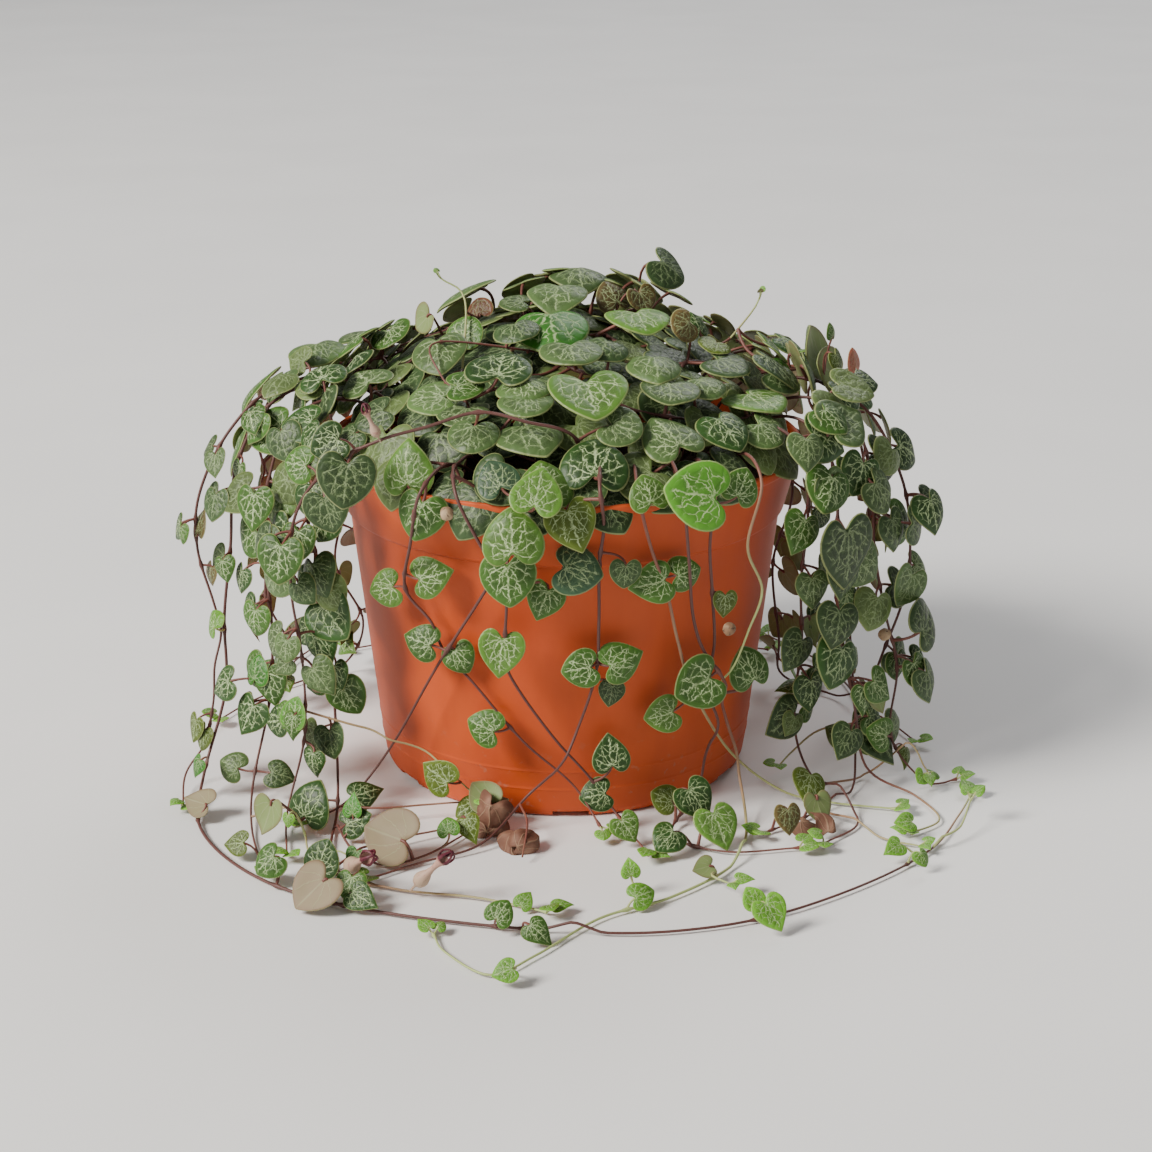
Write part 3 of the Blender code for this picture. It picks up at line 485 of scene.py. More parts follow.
# Front vines cling to the pot's face. Each route is in millimetres and runs from the mix outwards.
FRONT_ROUTES = [
    [(-14, -24, 76), (-26, -44, 90), (-33, -59, 88), (-36, -55, 74), (-38, -47, 60), (-32, -48, 52),
     (-29, -47, 44), (-22, -50, 37), (-10, -53, 23), (2, -54, 12), (9, -60, 3)],
    [(-4, -30, 76), (-6, -50, 90), (-9, -63, 87), (-13, -60, 74), (-19, -56, 62), (-31, -48, 40),
     (-43, -40, 16), (-54, -44, 3), (-64, -52, 1)],
    [(-18, -26, 76), (-25, -48, 91), (-25, -61, 88), (-20, -62, 77), (-14, -62, 66), (-14, -59, 52),
     (-14, -56, 44), (-10, -56, 36), (-2, -55, 24), (6, -54, 14), (14, -58, 4), (20, -70, 1)],
    [(6, -26, 76), (8, -50, 92), (8, -64, 90), (9, -61, 80), (8, -59, 70), (8, -58, 55), (7, -56, 40),
     (0, -54, 20), (-10, -54, 8), (-20, -66, 2), (-34, -74, 1), (-45, -82, 1)],
    [(14, -22, 76), (16, -48, 91), (17, -62, 87), (20, -58, 74), (24, -56, 62), (27, -51, 48),
     (31, -47, 34), (41, -38, 14), (54, -37, 3), (66, -40, 1), (82, -44, 1)],
    [(26, -20, 76), (31, -44, 91), (34, -58, 87), (34, -53, 72), (35, -50, 60), (36, -46, 45),
     (34, -45, 34), (35, -41, 20), (33, -43, 6), (26, -58, 1), (38, -68, 1), (56, -66, 1)],
    [(34, -14, 76), (42, -38, 91), (46, -50, 87), (43, -51, 72), (47, -48, 60), (44, -47, 49),
     (41, -46, 40), (38, -46, 36)],
    [(22, -16, 76), (24, -44, 92), (27, -60, 88), (29, -57, 70), (31, -51, 52), (38, -43, 30),
     (43, -40, 10), (44, -58, 1), (39, -76, 1), (24, -92, 1), (8, -102, 1), (-6, -119, 1),
     (-16, -128, 1), (-26, -118, 1), (-29, -110, 1)],
]

# Left vines arch out over the rim and hang in a bunch. The first comes across the front of the mound,
# and the fourth makes the long loop round the front.
LEFT_ROUTES = [
    [(6, -36, 84), (2, -48, 98), (-9, -50, 102), (-20, -49, 104), (-32, -51, 101), (-43, -52, 98),
     (-55, -50, 91), (-64, -44, 77), (-66, -41, 58), (-64, -41, 40), (-64, -42, 20), (-68, -50, 3),
     (-66, -70, 1)],
    [(-24, -14, 76), (-44, -22, 92), (-58, -28, 92), (-63, -32, 80), (-60, -33, 60), (-58, -33, 40),
     (-57, -35, 20), (-56, -46, 3), (-56, -64, 1), (-52, -80, 1), (-38, -88, 1), (-20, -92, 1),
     (-4, -99, 1)],
    [(-26, -8, 76), (-50, -14, 97), (-66, -20, 95), (-73, -23, 78), (-74, -25, 60), (-73, -26, 42),
     (-74, -29, 24), (-78, -36, 5), (-76, -56, 1), (-70, -80, 1)],
    [(-28, 0, 76), (-52, -2, 99), (-72, -8, 96), (-82, -12, 80), (-84, -15, 60), (-86, -18, 42),
     (-86, -22, 24), (-91, -32, 5), (-89, -54, 1), (-75, -78, 1), (-54, -94, 1), (-24, -104, 1),
     (8, -109, 1), (30, -107, 1), (50, -99, 1), (72, -83, 1), (88, -66, 1), (97, -48, 1), (102, -36, 1)],
    [(-30, 8, 76), (-54, 6, 97), (-72, -2, 98), (-84, -8, 88), (-92, -10, 72), (-93, -11, 58),
     (-89, -14, 44), (-85, -19, 30), (-89, -24, 14), (-96, -28, 4), (-95, -42, 1)],
]

# Right vines hang the same way on the other side.
RIGHT_ROUTES = [
    [(28, -8, 76), (50, -18, 94), (62, -26, 92), (66, -31, 78), (66, -33, 60), (68, -32, 44),
     (72, -31, 26), (76, -32, 7), (88, -36, 1), (92, -50, 1), (84, -58, 1)],
    [(32, 0, 76), (54, -8, 96), (70, -16, 94), (76, -19, 78), (77, -21, 62), (80, -22, 46),
     (84, -22, 30), (83, -24, 12), (92, -28, 1), (100, -26, 1)],
    [(30, 8, 76), (54, 4, 98), (74, -4, 94), (84, -10, 78), (87, -13, 62), (86, -14, 46),
     (80, -16, 28), (75, -20, 10), (72, -34, 1), (60, -48, 1), (48, -58, 1)],
    [(26, -14, 76), (46, -26, 94), (57, -32, 90), (59, -32, 74), (58, -31, 56), (59, -28, 38),
     (58, -24, 18), (62, -28, 4), (72, -50, 1), (62, -64, 1)],
]

# Rear vines follow a rule: azimuth of the rim crossing, reach past the rim, trail's turn and length.
REAR_VINES = [(12, 20, 40, 34), (34, 12, -35, 40), (56, 17, 30, 26), (78, 9, -30, 38),
              (98, 15, 35, 30), (120, 10, -40, 40), (142, 18, 30, 30), (164, 22, -30, 38)]

# Crown shoots coil through the mound: start azimuth, sweep, start and end radius, depth under its top.
CROWN_SHOOTS = [(250, 70, 8, 26, 9), (10, 80, 8, 26, 9), (130, 70, 8, 24, 9),
                (205, 75, 28, 52, 8), (285, 60, 28, 52, 8), (345, 60, 30, 54, 8),
                (45, 60, 30, 52, 8), (105, 60, 30, 52, 8), (155, 50, 30, 54, 8)]

# Where a vine's stem turns pale, as shares of its length: from here on it pales, and from there it is pale.
YOUNG_FROM = {"vine_front_7": (0.25, 0.75), "vine_front_8": (0.35, 0.6), "vine_left_4": (0.9, 1.0),
              "vine_front_5": (0.1, 0.9), "vine_left_2": (0.6, 1.0), "vine_right_1": (0.7, 1.0)}


# Side shoots: the stem each grows from, how young it is at its foot and its end, and its route.
SIDE_SHOOTS = [
    ("crown_shoot_4", 0.8, 1.0, [(-20, 2, 114), (-25, 3, 119), (-31, 5, 124)]),
    ("crown_shoot_1", 0.1, 0.2, [(-27, -8, 110), (-31, -13, 112), (-30, -22, 106), (-24, -30, 102)]),
    ("crown_shoot_6", 0.7, 1.0, [(42, -2, 111), (46, -4, 117), (48, -5, 121)]),
    ("vine_left_2", 0.3, 0.5, [(-56, -47, 3), (-45, -50, 4), (-34, -48, 4), (-24, -49, 5), (-18, -51, 4)]),
    ("vine_left_1", 0.6, 0.9, [(-64, -42, 26), (-53, -42, 23), (-38, -41, 18), (-28, -47, 12),
                               (-21, -51, 7)]),
    ("vine_left_2", 0.1, 0.3, [(-56, -54, 2), (-51, -66, 1), (-43, -75, 1), (-33, -70, 1), (-23, -57, 1),
                               (-15, -53, 3)]),
    ("vine_left_2", 0.2, 0.5, [(-52, -76, 1), (-41, -64, 2), (-30, -58, 2), (-21, -54, 3)]),
    ("vine_left_3", 0.6, 0.9, [(-76, -50, 3), (-68, -52, 5), (-63, -60, 3), (-60, -70, 1), (-50, -76, 1)]),
    ("vine_front_4", 0.3, 0.3, [(-10, -56, 8), (-9, -63, 6), (-10, -73, 2)]),
    ("vine_right_4", 0.4, 0.7, [(68, -33, 3), (74, -26, 1), (78, -23, 1), (85, -27, 1), (92, -30, 1)]),
    ("vine_right_3", 0.5, 0.9, [(65, -46, 1), (76, -60, 1), (85, -65, 1)]),
    ("vine_left_4", 0.9, 1.0, [(87, -66, 1), (95, -60, 3), (99, -52, 7)]),
    ("vine_right_3", 0.6, 0.9, [(74, -14, 12), (66, -13, 9), (59, -17, 5), (55, -22, 3)]),
    ("vine_front_8", 0.8, 1.0, [(36, -80, 1), (34, -86, 3), (38, -89, 3)]),
]


def outer_radius(z):
    """The pot's outside radius at a height."""
    if z >= COLLAR_Z:
        return COLLAR_R + (RIM_R - COLLAR_R) * min(1, (z - COLLAR_Z) / (POT_H - COLLAR_Z))
    return pot_wall_radius(max(0, z))


def smooth_route(points, step):
    """A curve through the points (a Catmull-Rom spline), with a point about every step."""
    ends = [2 * points[0] - points[1]] + points + [2 * points[-1] - points[-2]]
    route = []
    for a, b, c, d in zip(ends, ends[1:], ends[2:], ends[3:]):
        count = max(1, round((c - b).length / step))
        for i in range(count):
            t = i / count
            route.append(0.5 * (2 * b + (c - a) * t + (2 * a - 5 * b + 4 * c - d) * t**2
                                + (3 * b - a - 3 * c + d) * t**3))
    return route + [points[-1].copy()]


def way_out(point):
    """The direction in which a stem gives way: up on the surface and over the mound, else outwards."""
    radius = math.hypot(point.x, point.y)
    over_mix = radius < RIM_R and point.z > POT_H - 12 * MM
    if point.z < 9 * MM or over_mix and radius < outer_radius(point.z):
        return Vector((0, 0, 1))
    return Vector((point.x, point.y, 0)).normalized()


def clear_of_pot(point):
    radius = math.hypot(point.x, point.y)
    over = POT_H + POT_CLEARANCE - point.z
    beside = outer_radius(point.z) + POT_CLEARANCE - radius
    if over > 0 and beside > 0 and radius > RIM_R - 8 * MM and over < beside:
        point.z += over
    elif over > 0 and beside > 0 and (radius > RIM_R - 8 * MM or point.z < SOIL_TOP):
        scale = (radius + beside) / radius
        point.x *= scale
        point.y *= scale
    point.z = max(point.z, STEM_R + 0.1 * MM)


def settle(route, taken):
    """Moves a route clear of the pot and, where it crosses an earlier stem, over that stem."""
    for _ in range(30):
        for point in route:
            clear_of_pot(point)
        close = False
        for i, point in enumerate(route):
            distance = taken.find(point)[2] if taken else None
            if distance is None or distance >= STEM_GAP:
                continue
            close = True
            move = way_out(point) * (STEM_GAP - distance) * 0.8
            for k in range(-4, 5):
                if 0 <= i + k < len(route):
                    route[i + k] += move * (1 - abs(k) / 5)
        if not close:
            break
    return route


def tree_of(points):
    tree = kdtree.KDTree(len(points))
    for i, point in enumerate(points):
        tree.insert(point, i)
    tree.balance()
    return tree


def mound_height(x, y):
    reach = min(80 * MM, math.hypot(0.97 * x, y - MOUND_BACK))
    return MOUND_TOP - MOUND_FALL * (reach / MOUND_R) ** 2.2


def rear_route(azimuth, reach, turn, trail):
    angle = math.radians(azimuth)

    def at(radius, height, more=0.0):
        return Vector((radius * math.cos(angle + more), radius * math.sin(angle + more), height)) * MM

    sway = math.radians(1 + 0.12 * reach)
    points = [at(30, 76), at(48, 97), at(60 + 0.6 * reach, 96), at(60 + reach, 80, sway),
              at(61 + reach, 58, -sway), at(60 + reach, 36, sway), at(58 + reach, 16, -sway),
              at(62 + reach, 3)]
    for share in (0.35, 0.7, 1):
        points.append(at(63 + reach + trail * share * 0.45, 1, math.radians(turn) * share))
    return points


def crown_route(azimuth, sweep, first, last, depth):
    points = []
    for i in range(5):
        share = i / 4
        angle = math.radians(azimuth + sweep * share)
        radius = (first + (last - first) * share) * MM
        x, y = radius * math.cos(angle), radius * math.sin(angle)
        height = max(mound_height(x, y) - depth * MM, SOIL_TOP + 5 * MM)
        points.append(Vector((x, y, height)))
    foot = points[0].copy()
    foot.z = SOIL_TOP + 2 * MM
    middle = points[0].lerp(foot, 0.5)
    middle.x += 2 * MM
    return [foot, middle] + points


planned = []
for side, group in (("front", FRONT_ROUTES), ("left", LEFT_ROUTES), ("right", RIGHT_ROUTES)):
    for i, route in enumerate(group):
        planned.append((f"vine_{side}_{i + 1}", [Vector(point) * MM for point in route]))
for i, values in enumerate(REAR_VINES):
    planned.append((f"vine_rear_{i + 1}", rear_route(*values)))
for i, values in enumerate(CROWN_SHOOTS):
    planned.append((f"crown_shoot_{i + 1}", crown_route(*values)))
stems = {}
for name, points in planned:
    taken = tree_of([point for route in stems.values() for point in route]) if stems else None
    stems[name] = settle(smooth_route(points, ROUTE_STEP), taken)
shoots = {name: [] for name in stems}
for name, young_at_foot, young_at_end, points in SIDE_SHOOTS:
    every = [point for route in stems.values() for point in route]
    every += [point for group in shoots.values() for _, _, route in group for point in route]
    own = tree_of(stems[name])
    foot = own.find(Vector(points[0]) * MM)[0]
    route = smooth_route([foot] + [Vector(point) * MM for point in points[1:]], ROUTE_STEP)
    shoots[name].append((young_at_foot, young_at_end, [foot] + settle(route[2:], tree_of(every))))


# ---------------------------------------------------------------------------------------------------
# Leaf places. A leaf is (x, y, z, tip, lean, width, tone): the blade's centre in millimetres, the clock
# angle of its tip seen from outside (0 right, 90 up), how far its face turns up from level, its width
# in millimetres and the name of its tone.

CROWN_LEAVES = [
    (-44, 8, 108, 330, 55, 12, "mid"), (-37, 8, 112, 235, 22, 9, "under"),
    (-31, -14, 109, 300, 55, 15, "grey"), (-24, 0, 113, 80, 35, 11, "mid"),
    (-3, -12, 115, 280, 70, 20, "vivid"), (-2, 2, 120, 270, 76, 16, "grey"),
    (-14, 10, 117, 190, 80, 11, "grey"), (4, 22, 121, 265, 82, 16, "grey"),
    (-15, -26, 110, 90, 68, 17, "dark"), (-8, -35, 106, 300, 74, 15, "silver"),
    (2, -27, 112, 275, 74, 16, "grey"), (-34, -30, 102, 200, 74, 16, "silver"),
    (-22, -31, 106, 20, 66, 12, "mid"), (-26, -39, 100, 250, 74, 14, "grey"),
    (-9, -41, 103, 280, 78, 14, "grey"), (6, -41, 103, 275, 70, 20, "light"),
    (-22, -48, 96, 268, 52, 13, "grey"), (-7, -49, 98, 300, 78, 17, "grey"),
    (-37, -48, 91, 100, 16, 14, "light"), (-16, -56, 91, 120, 44, 11, "blue"),
    (-5, -59, 91, 100, 44, 14, "light"), (7, -54, 95, 85, 48, 17, "dark"),
    (28, 14, 123.5, 300, 42, 14, "dusk"), (12, 12, 119, 100, 38, 10, "brown"),
    (20, 8, 117, 280, 30, 9, "brown"), (19, -10, 116, 265, 78, 17, "light"),
    (33, 4, 113, 90, 36, 8, "mid"), (36, -9, 110, 200, 70, 9, "olive"),
    (62, 6, 106, 130, 20, 16, "under"), (54, 2, 103, 90, 45, 7, "vivid"),
    (42, -14, 106, 300, 72, 15, "dusk"), (35, -27, 104, 280, 74, 13, "grey"),
    (22, -26, 109, 260, 74, 14, "grey"), (25, -34, 103, 250, 74, 15, "grey"),
    (9, -22, 112, 240, 66, 12, "dusk"), (24, -44, 98, 110, 60, 16, "silver"),
    (39, -38, 96, 280, 58, 14, "dark"), (50, -32, 94, 300, 54, 13, "silver"),
    (49, -23, 99, 280, 80, 18, "light"), (56, -8, 101, 300, 58, 13, "dusk"),
    (15, -47, 99, 330, 56, 13, "grey"), (29, -64, 89, 165, 22, 17, "bright"),
    (41, -56, 89, 60, 18, 10, "mid"), (19, -61, 89, 100, 30, 10, "light"),
    (-50, -12, 103, 160, 66, 14, "silver"), (-47, -28, 97, 220, 50, 12, "dusk"),
    (-53, -31, 92, 240, 50, 10, "dusk"), (-58, -8, 98, 170, 60, 11, "dusk"),
    (-11, -16, 115, 300, 66, 12, "dusk"), (67, 0, 112, 85, 10, 5, "mid"),
    (68, -6, 105, 280, 20, 7, "olive"), (72, -5, 106, 95, 12, 7, "pink"),
    (66, 2, 101, 150, 24, 15, "under"), (-22, 7, 117, 120, 30, 8, "rust"),
    (28, -8, 114, 200, 24, 9, "brown"),
]

FRONT_LEAVES = [
    (-34, -56, 80, 260, 12, 13, "mid"), (-44, -42, 58, 200, 10, 10, "light"),
    (-31, -52, 65, 20, 14, 11, "light"), (-35, -48, 47, 170, 16, 10, "mid"),
    (-25, -51, 43, 300, 10, 9, "mid"), (-20, -53, 27, 160, 14, 10, "mid"),
    (-12, -68, 81, 95, 20, 15, "light"), (-13, -64, 67, 275, 12, 14, "mid"),
    (-15, -60, 48, 265, 16, 12, "light"), (2, -65, 81, 290, 16, 13, "olive"),
    (-6, -67, 91, 80, 36, 13, "light"), (4, -62, 70, 350, 30, 13, "blue"),
    (-5, -60, 61, 250, 10, 10, "mid"), (14, -61, 68, 265, 8, 8, "dusk"),
    (3, -59, 44, 190, 12, 10, "mid"), (14, -58, 46, 20, 18, 11, "mid"),
    (11, -55, 36, 260, 10, 7, "dusk"), (20, -58, 65, 190, 16, 11, "mid"),
    (29, -55, 67, 10, 20, 9, "mid"), (31, -52, 37, 200, 16, 14, "mid"),
    (45, -43, 39, 100, 14, 12, "mid"), (23, -51, 29, 190, 12, 10, "light"),
    (38, -50, 57, 265, 10, 7, "olive"), (11, -55, 21, 95, 14, 10, "dark"),
    (7, -56, 10, 190, 20, 9, "dark"), (15, -64, 5, 300, 30, 8, "light"),
    (-31, -50, 13, 150, 16, 10, "olive"),
]

SIDE_LEAVES = [
    (-77, -15, 91, 250, 20, 11, "mid"), (-81, -15, 79, 265, 10, 7, "mid"),
    (-65, -26, 86, 230, 26, 15, "grey"), (-71, -26, 74, 250, 16, 13, "silver"),
    (-59, -36, 72, 240, 12, 11, "dark"), (-60, -37, 59, 300, 12, 12, "dusk"),
    (-72, -31, 62, 200, 16, 13, "dark"), (-81, -21, 53, 260, 10, 8, "dark"),
    (-56, -39, 49, 320, 16, 15, "dark"), (-89, -20, 42, 150, 20, 8, "young"),
    (-77, -30, 33, 100, 16, 9, "vivid"), (-86, -27, 27, 220, 20, 10, "dark"),
    (-56, -38, 34, 290, 10, 8, "dark"), (-66, -43, 27, 90, 20, 9, "bright"),
    (-72, -38, 22, 200, 16, 9, "dark"), (-62, -45, 14, 265, 6, 8, "dark"),
    (-92, -26, 12, 265, 16, 8, "olive"), (-92, -11, 65, 100, 20, 8, "brown"),
    (-90, -12, 51, 265, 12, 7, "brown"), (68, -24, 95, 10, 50, 16, "grey"),
    (64, -34, 80, 290, 10, 11, "grey"), (68, -40, 66, 270, 6, 19, "dusk"),
    (78, -24, 76, 300, 20, 13, "grey"), (88, -18, 66, 330, 12, 11, "dusk"),
    (91, -21, 43, 30, 16, 15, "dusk"), (92, -24, 26, 285, 10, 12, "dusk"),
    (67, -37, 36, 240, 12, 15, "dark"), (55, -29, 18, 200, 6, 13, "dusk"),
    (80, -27, 12, 280, 40, 15, "dusk"), (78, -30, 25, 280, 6, 9, "under"),
    (61, -26, 42, 265, 12, 8, "under"),
]

FLOOR_LEAVES = [
    (-14, -108, 6, 60, 30, 7, "mid"), (-6, -114, 4, 320, 40, 7, "mid"),
    (42, -101, 6, 110, 30, 6, "young"), (46, -108, 5, 290, 40, 9, "young"),
    (84, -78, 4, 280, 40, 5, "young"), (78, -72, 4, 190, 50, 6, "young"),
    (82, -60, 5, 160, 50, 6, "young"), (-13, -132, 4, 200, 40, 6, "young"),
    (15, -89, 7, 95, 15, 5, "young"), (18, -96, 4, 20, 40, 7, "young"),
    (-42, -70, 5, 170, 40, 15, "beige"), (24, -50, 7, 150, 30, 8, "olive"),
    (32, -57, 9, 300, 30, 11, "dark"), (37, -64, 5, 280, 40, 12, "light"),
    (24, -70, 5, 220, 50, 9, "dark"), (54, -61, 6, 265, 30, 8, "brown"),
    (61, -39, 5, 230, 50, 10, "olive"), (62, -53, 5, 265, 30, 9, "under"),
    (-28, -64, 6, 110, 40, 6, "bright"), (-23, -63, 5, 300, 40, 7, "olive"),
    (-56, -82, 7, 80, 20, 10, "dark"), (-49, -80, 5, 260, 30, 6, "vivid"),
    (-69, -85, 6, 230, 30, 9, "mid"), (-62, -54, 8, 85, 20, 13, "dark"),
    (-50, -61, 6, 30, 30, 9, "dark"), (-51, -60, 9, 100, 20, 6, "vivid"),
    (-46, -98, 4, 340, 40, 8, "dark"), (-57, -96, 4, 240, 40, 13, "beige"),
    (-49, -93, 4, 270, 40, 8, "mid"), (-71, -61, 7, 265, 16, 10, "under"),
    (-66, -66, 8, 268, 10, 4, "young"), (-92, -36, 9, 250, 20, 6, "vivid"),
    (-90, -47, 4, 190, 50, 9, "beige"), (-93, -24, 14, 265, 10, 8, "olive"),
    (-20, -51, 8, 140, 40, 9, "under"), (-17, -53, 6, 30, 50, 8, "beige"),
    (-24, -53, 5, 220, 50, 8, "olive"), (88, -20, 5, 240, 30, 6, "olive"),
    (90, -32, 4, 200, 40, 5, "young"), (32, -83, 4, 190, 40, 6, "under"),
    (-9, -97, 3, 60, 40, 5, "young"), (-78, -70, 4, 200, 40, 7, "olive"),
]

# Tones as the colour between the veins, the strength of the pale veins and the silver haze over it.
TONES = {
    "dark": ((0.017, 0.050, 0.008), 0.85, 0.25), "dusk": ((0.026, 0.052, 0.015), 0.35, 0.30),
    "mid": ((0.034, 0.090, 0.011), 0.85, 0.30), "light": ((0.062, 0.142, 0.018), 0.80, 0.40),
    "vivid": ((0.030, 0.150, 0.011), 0.60, 0.15), "bright": ((0.068, 0.215, 0.018), 0.75, 0.12),
    "young": ((0.110, 0.290, 0.022), 0.75, 0.06), "grey": ((0.050, 0.090, 0.026), 0.45, 0.55),
    "silver": ((0.060, 0.112, 0.030), 0.70, 0.80), "blue": ((0.034, 0.078, 0.038), 0.60, 0.60),
    "olive": ((0.065, 0.098, 0.009), 0.70, 0.20), "brown": ((0.085, 0.060, 0.020), 0.50, 0.30),
    "under": ((0.080, 0.120, 0.035), 0.30, 0.20), "pink": ((0.420, 0.130, 0.080), 0.10, 0.10),
    "rust": ((0.110, 0.040, 0.018), 0.15, 0.10), "beige": ((0.150, 0.110, 0.060), 0.20, 0.20),
}
GOLDEN_ANGLE = math.radians(137.508)

# Pairs down the hanging stems: where the first is, how far apart, how many, first and last leaf width,
# and how far the faces turn to the front. All lengths are in millimetres.
PAIRS = {
    "vine_left_1": (74, 13, 7, 13, 9, 0.8), "vine_left_2": (42, 13, 8, 14, 9, 0.8),
    "vine_left_3": (42, 14, 8, 14, 9, 0.8), "vine_left_4": (48, 17, 4, 11, 8, 0.6),
    "vine_left_5": (48, 21, 3, 10, 7, 0.6), "vine_right_1": (42, 16, 6, 14, 9, 0.8),
    "vine_right_2": (46, 17, 6, 13, 9, 0.7), "vine_right_3": (50, 17, 7, 13, 9, 0.7),
    "vine_right_4": (40, 16, 6, 13, 9, 0.8),
}
PAIRS.update({f"vine_rear_{i + 1}": (42 + 5 * (i % 3), 13, 9, 15, 8, 0.0) for i in range(len(REAR_VINES))})
SIDE_TONES = ("dark", "dusk", "mid", "mid", "grey", "under")
REAR_TONES = ("mid", "dark", "grey", "light")

# Rows of leaves over the rim at the sides and rear: radius and height in millimetres, and lean in degrees.
# RIM_TURN holds the first and last azimuth of a row and the step between its leaves, in degrees.
RIM_ROWS = ((54, 104, 48), (61, 97, 26), (64, 89, 8))
RIM_TURN = (-10, 196, 15)
RIM_TONES = ("grey", "mid", "dusk", "light", "dark")

# Layers of the mound: how many leaves, how far apart, how deep under its top, their width and tones.
UPPER_LAYER = (150, 11 * MM, 0.0, 15 * MM, ("grey", "mid", "dusk", "silver", "grey", "light"))
UNDER_LAYER = (120, 8 * MM, 9 * MM, 14 * MM, ("dusk", "dusk", "under"))
MOUND_SPREAD = 58 * MM

# The least and most width in millimetres of the newest leaves: at a stem's end, at a side shoot's end
# low down, and in a bud above the rim. A side shoot ends in them where it is at least this young.
TIP_WIDTHS = (3.6, 5.2)
SHOOT_WIDTHS = (3.2, 4.6)
BUD_WIDTHS = (1.7, 2.3)
BUD_YOUTH = 0.65

# A leaf's middle is this share of its width from its notch.
MIDDLE = 0.32


def leaf_frame(azimuth, lean, tip):
    """The unit vectors of a blade: across, towards the tip, and out of its face."""
    face = Vector((math.cos(azimuth) * math.cos(lean), math.sin(azimuth) * math.cos(lean), math.sin(lean)))
    right = Vector((0, 0, 1)).cross(face).normalized()
    up = face.cross(right)
    along = right * math.cos(tip) + up * math.sin(tip)
    return along.cross(face), along, face


def placed_leaf(x, y, z, tip, lean, width, tone):
    """A listed leaf: notch, frame, width and tone. Faces turn to the front, fanning out."""
    azimuth = math.atan2(y - 40, x)
    across, along, face = leaf_frame(azimuth, math.radians(lean), math.radians(tip))
    notch = Vector((x, y, z)) * MM - along * MIDDLE * width * MM
    if tone in ("under", "beige"):
        across, face = -across, -face
    return notch, (across, along, face), width * MM, tone


def paired_leaves(route, start, spacing, count, first, last, front, tones, draw):
    """Opposite pairs along a hanging stem, each pair turned a quarter from the last."""
    leaves = []
    for i in range(count):
        at = min(len(route) - 2, int((start + (i + draw.uniform(-0.3, 0.3)) * spacing) * MM / ROUTE_STEP))
        point = route[at]
        along = (route[at + 1] - route[at - 1]).normalized()
        out = way_out(point)
        side = along.cross(out).normalized()
        out = side.cross(along)
        width = (first + (last - first) * i / (count - 1)) * MM
        for sign in (-1, 1):
            size = width * draw.uniform(0.75, 1.15)
            spread = (math.radians(78 if i % 2 else 34) + draw.uniform(-0.3, 0.3)) * sign
            stalk = out * math.cos(spread) + side * math.sin(spread)
            lift = Vector((draw.uniform(-0.25, 0.25), draw.uniform(-0.25, 0.25) - front,
                           draw.uniform(0.05, 0.6)))
            face = out * 0.9 + stalk * 0.25 + lift
            if front:
                face.y = min(face.y, -0.7 * front)
            face.normalize()
            hang = Vector((0, 0, -1)) if point.z > 14 * MM else Vector((0, 0, 0.15))
            tip = (stalk + hang * 0.9 + along * draw.uniform(-0.4, 0.4)).normalized()
            tip = (tip - face * tip.dot(face)).normalized()
            notch = point + stalk * (3.4 * MM + 0.12 * size)
            notch.z = max(notch.z, 3 * MM)
            leaves.append((notch, (tip.cross(face), tip, face), size, draw.choice(tones)))
    return leaves


def tip_leaves(route, least, most, draw):
    """The two newest leaves at a stem's end, and the least and most that they are wide in millimetres."""
    along = (route[-1] - route[-3]).normalized()
    across = along.cross(Vector((0, 0, 1))).normalized()
    leaves = []
    for sign in (-1, 1):
        tip = (along + across * sign * draw.uniform(0.6, 1.1) + Vector((0, 0, 0.35))).normalized()
        face = (Vector((0, -0.3, 1)) - tip * tip.dot(Vector((0, -0.3, 1)))).normalized()
        notch = route[-1] + tip * 1.6 * MM + Vector((0, 0, 0.8 * MM))
        leaves.append((notch, (tip.cross(face), tip, face), draw.uniform(least, most) * MM, "young"))
    return leaves


def rim_leaves(rows, first, last, step, tones, draw):
    """Rows of leaves that droop over the rim at the sides and rear; a row is (radius, height, lean)."""
    leaves = []
    for row, (radius, height, lean) in enumerate(rows):
        for azimuth in range(first + row * step // 2, last, step):
            angle = math.radians(azimuth + draw.uniform(-3, 3))
            centre = Vector((radius * math.cos(angle), radius * math.sin(angle),
                             height + draw.uniform(-2, 2))) * MM
            leaf = leaf_frame(angle, math.radians(lean + draw.uniform(-8, 8)),
                              math.radians(270 + draw.uniform(-40, 40)))
            width = draw.uniform(12, 17) * MM
            leaves.append((centre - leaf[1] * MIDDLE * width, leaf, width, draw.choice(tones)))
    return leaves


def mound_leaves(placed, count, spacing, depth, size, tones, draw):
    """Leaves that cover the mound, spread at the golden angle, off those already placed."""
    leaves = []
    centres = [notch + leaf[1] * MIDDLE * width for notch, leaf, width, _ in placed]
    for i in range(count):
        radius = MOUND_SPREAD * math.sqrt((i + 0.5) / count)
        angle = i * GOLDEN_ANGLE
        x, y = radius * math.cos(angle), radius * math.sin(angle)
        centre = Vector((x, y, mound_height(x, y) - depth + MM * math.sin(7 * i)))
        if min([(centre - other).length for other in centres], default=spacing) < spacing:
            continue
        azimuth = math.atan2(y - 12 * MM, x)
        lean = math.radians(84 - 46 * radius / MOUND_SPREAD + draw.uniform(-8, 8))
        leaf = leaf_frame(azimuth, lean, math.radians(270 + draw.uniform(-70, 70)))
        width = size * draw.uniform(0.8, 1.25)
        centres.append(centre)
        leaves.append((centre - leaf[1] * MIDDLE * width, leaf, width, draw.choice(tones)))
    return leaves


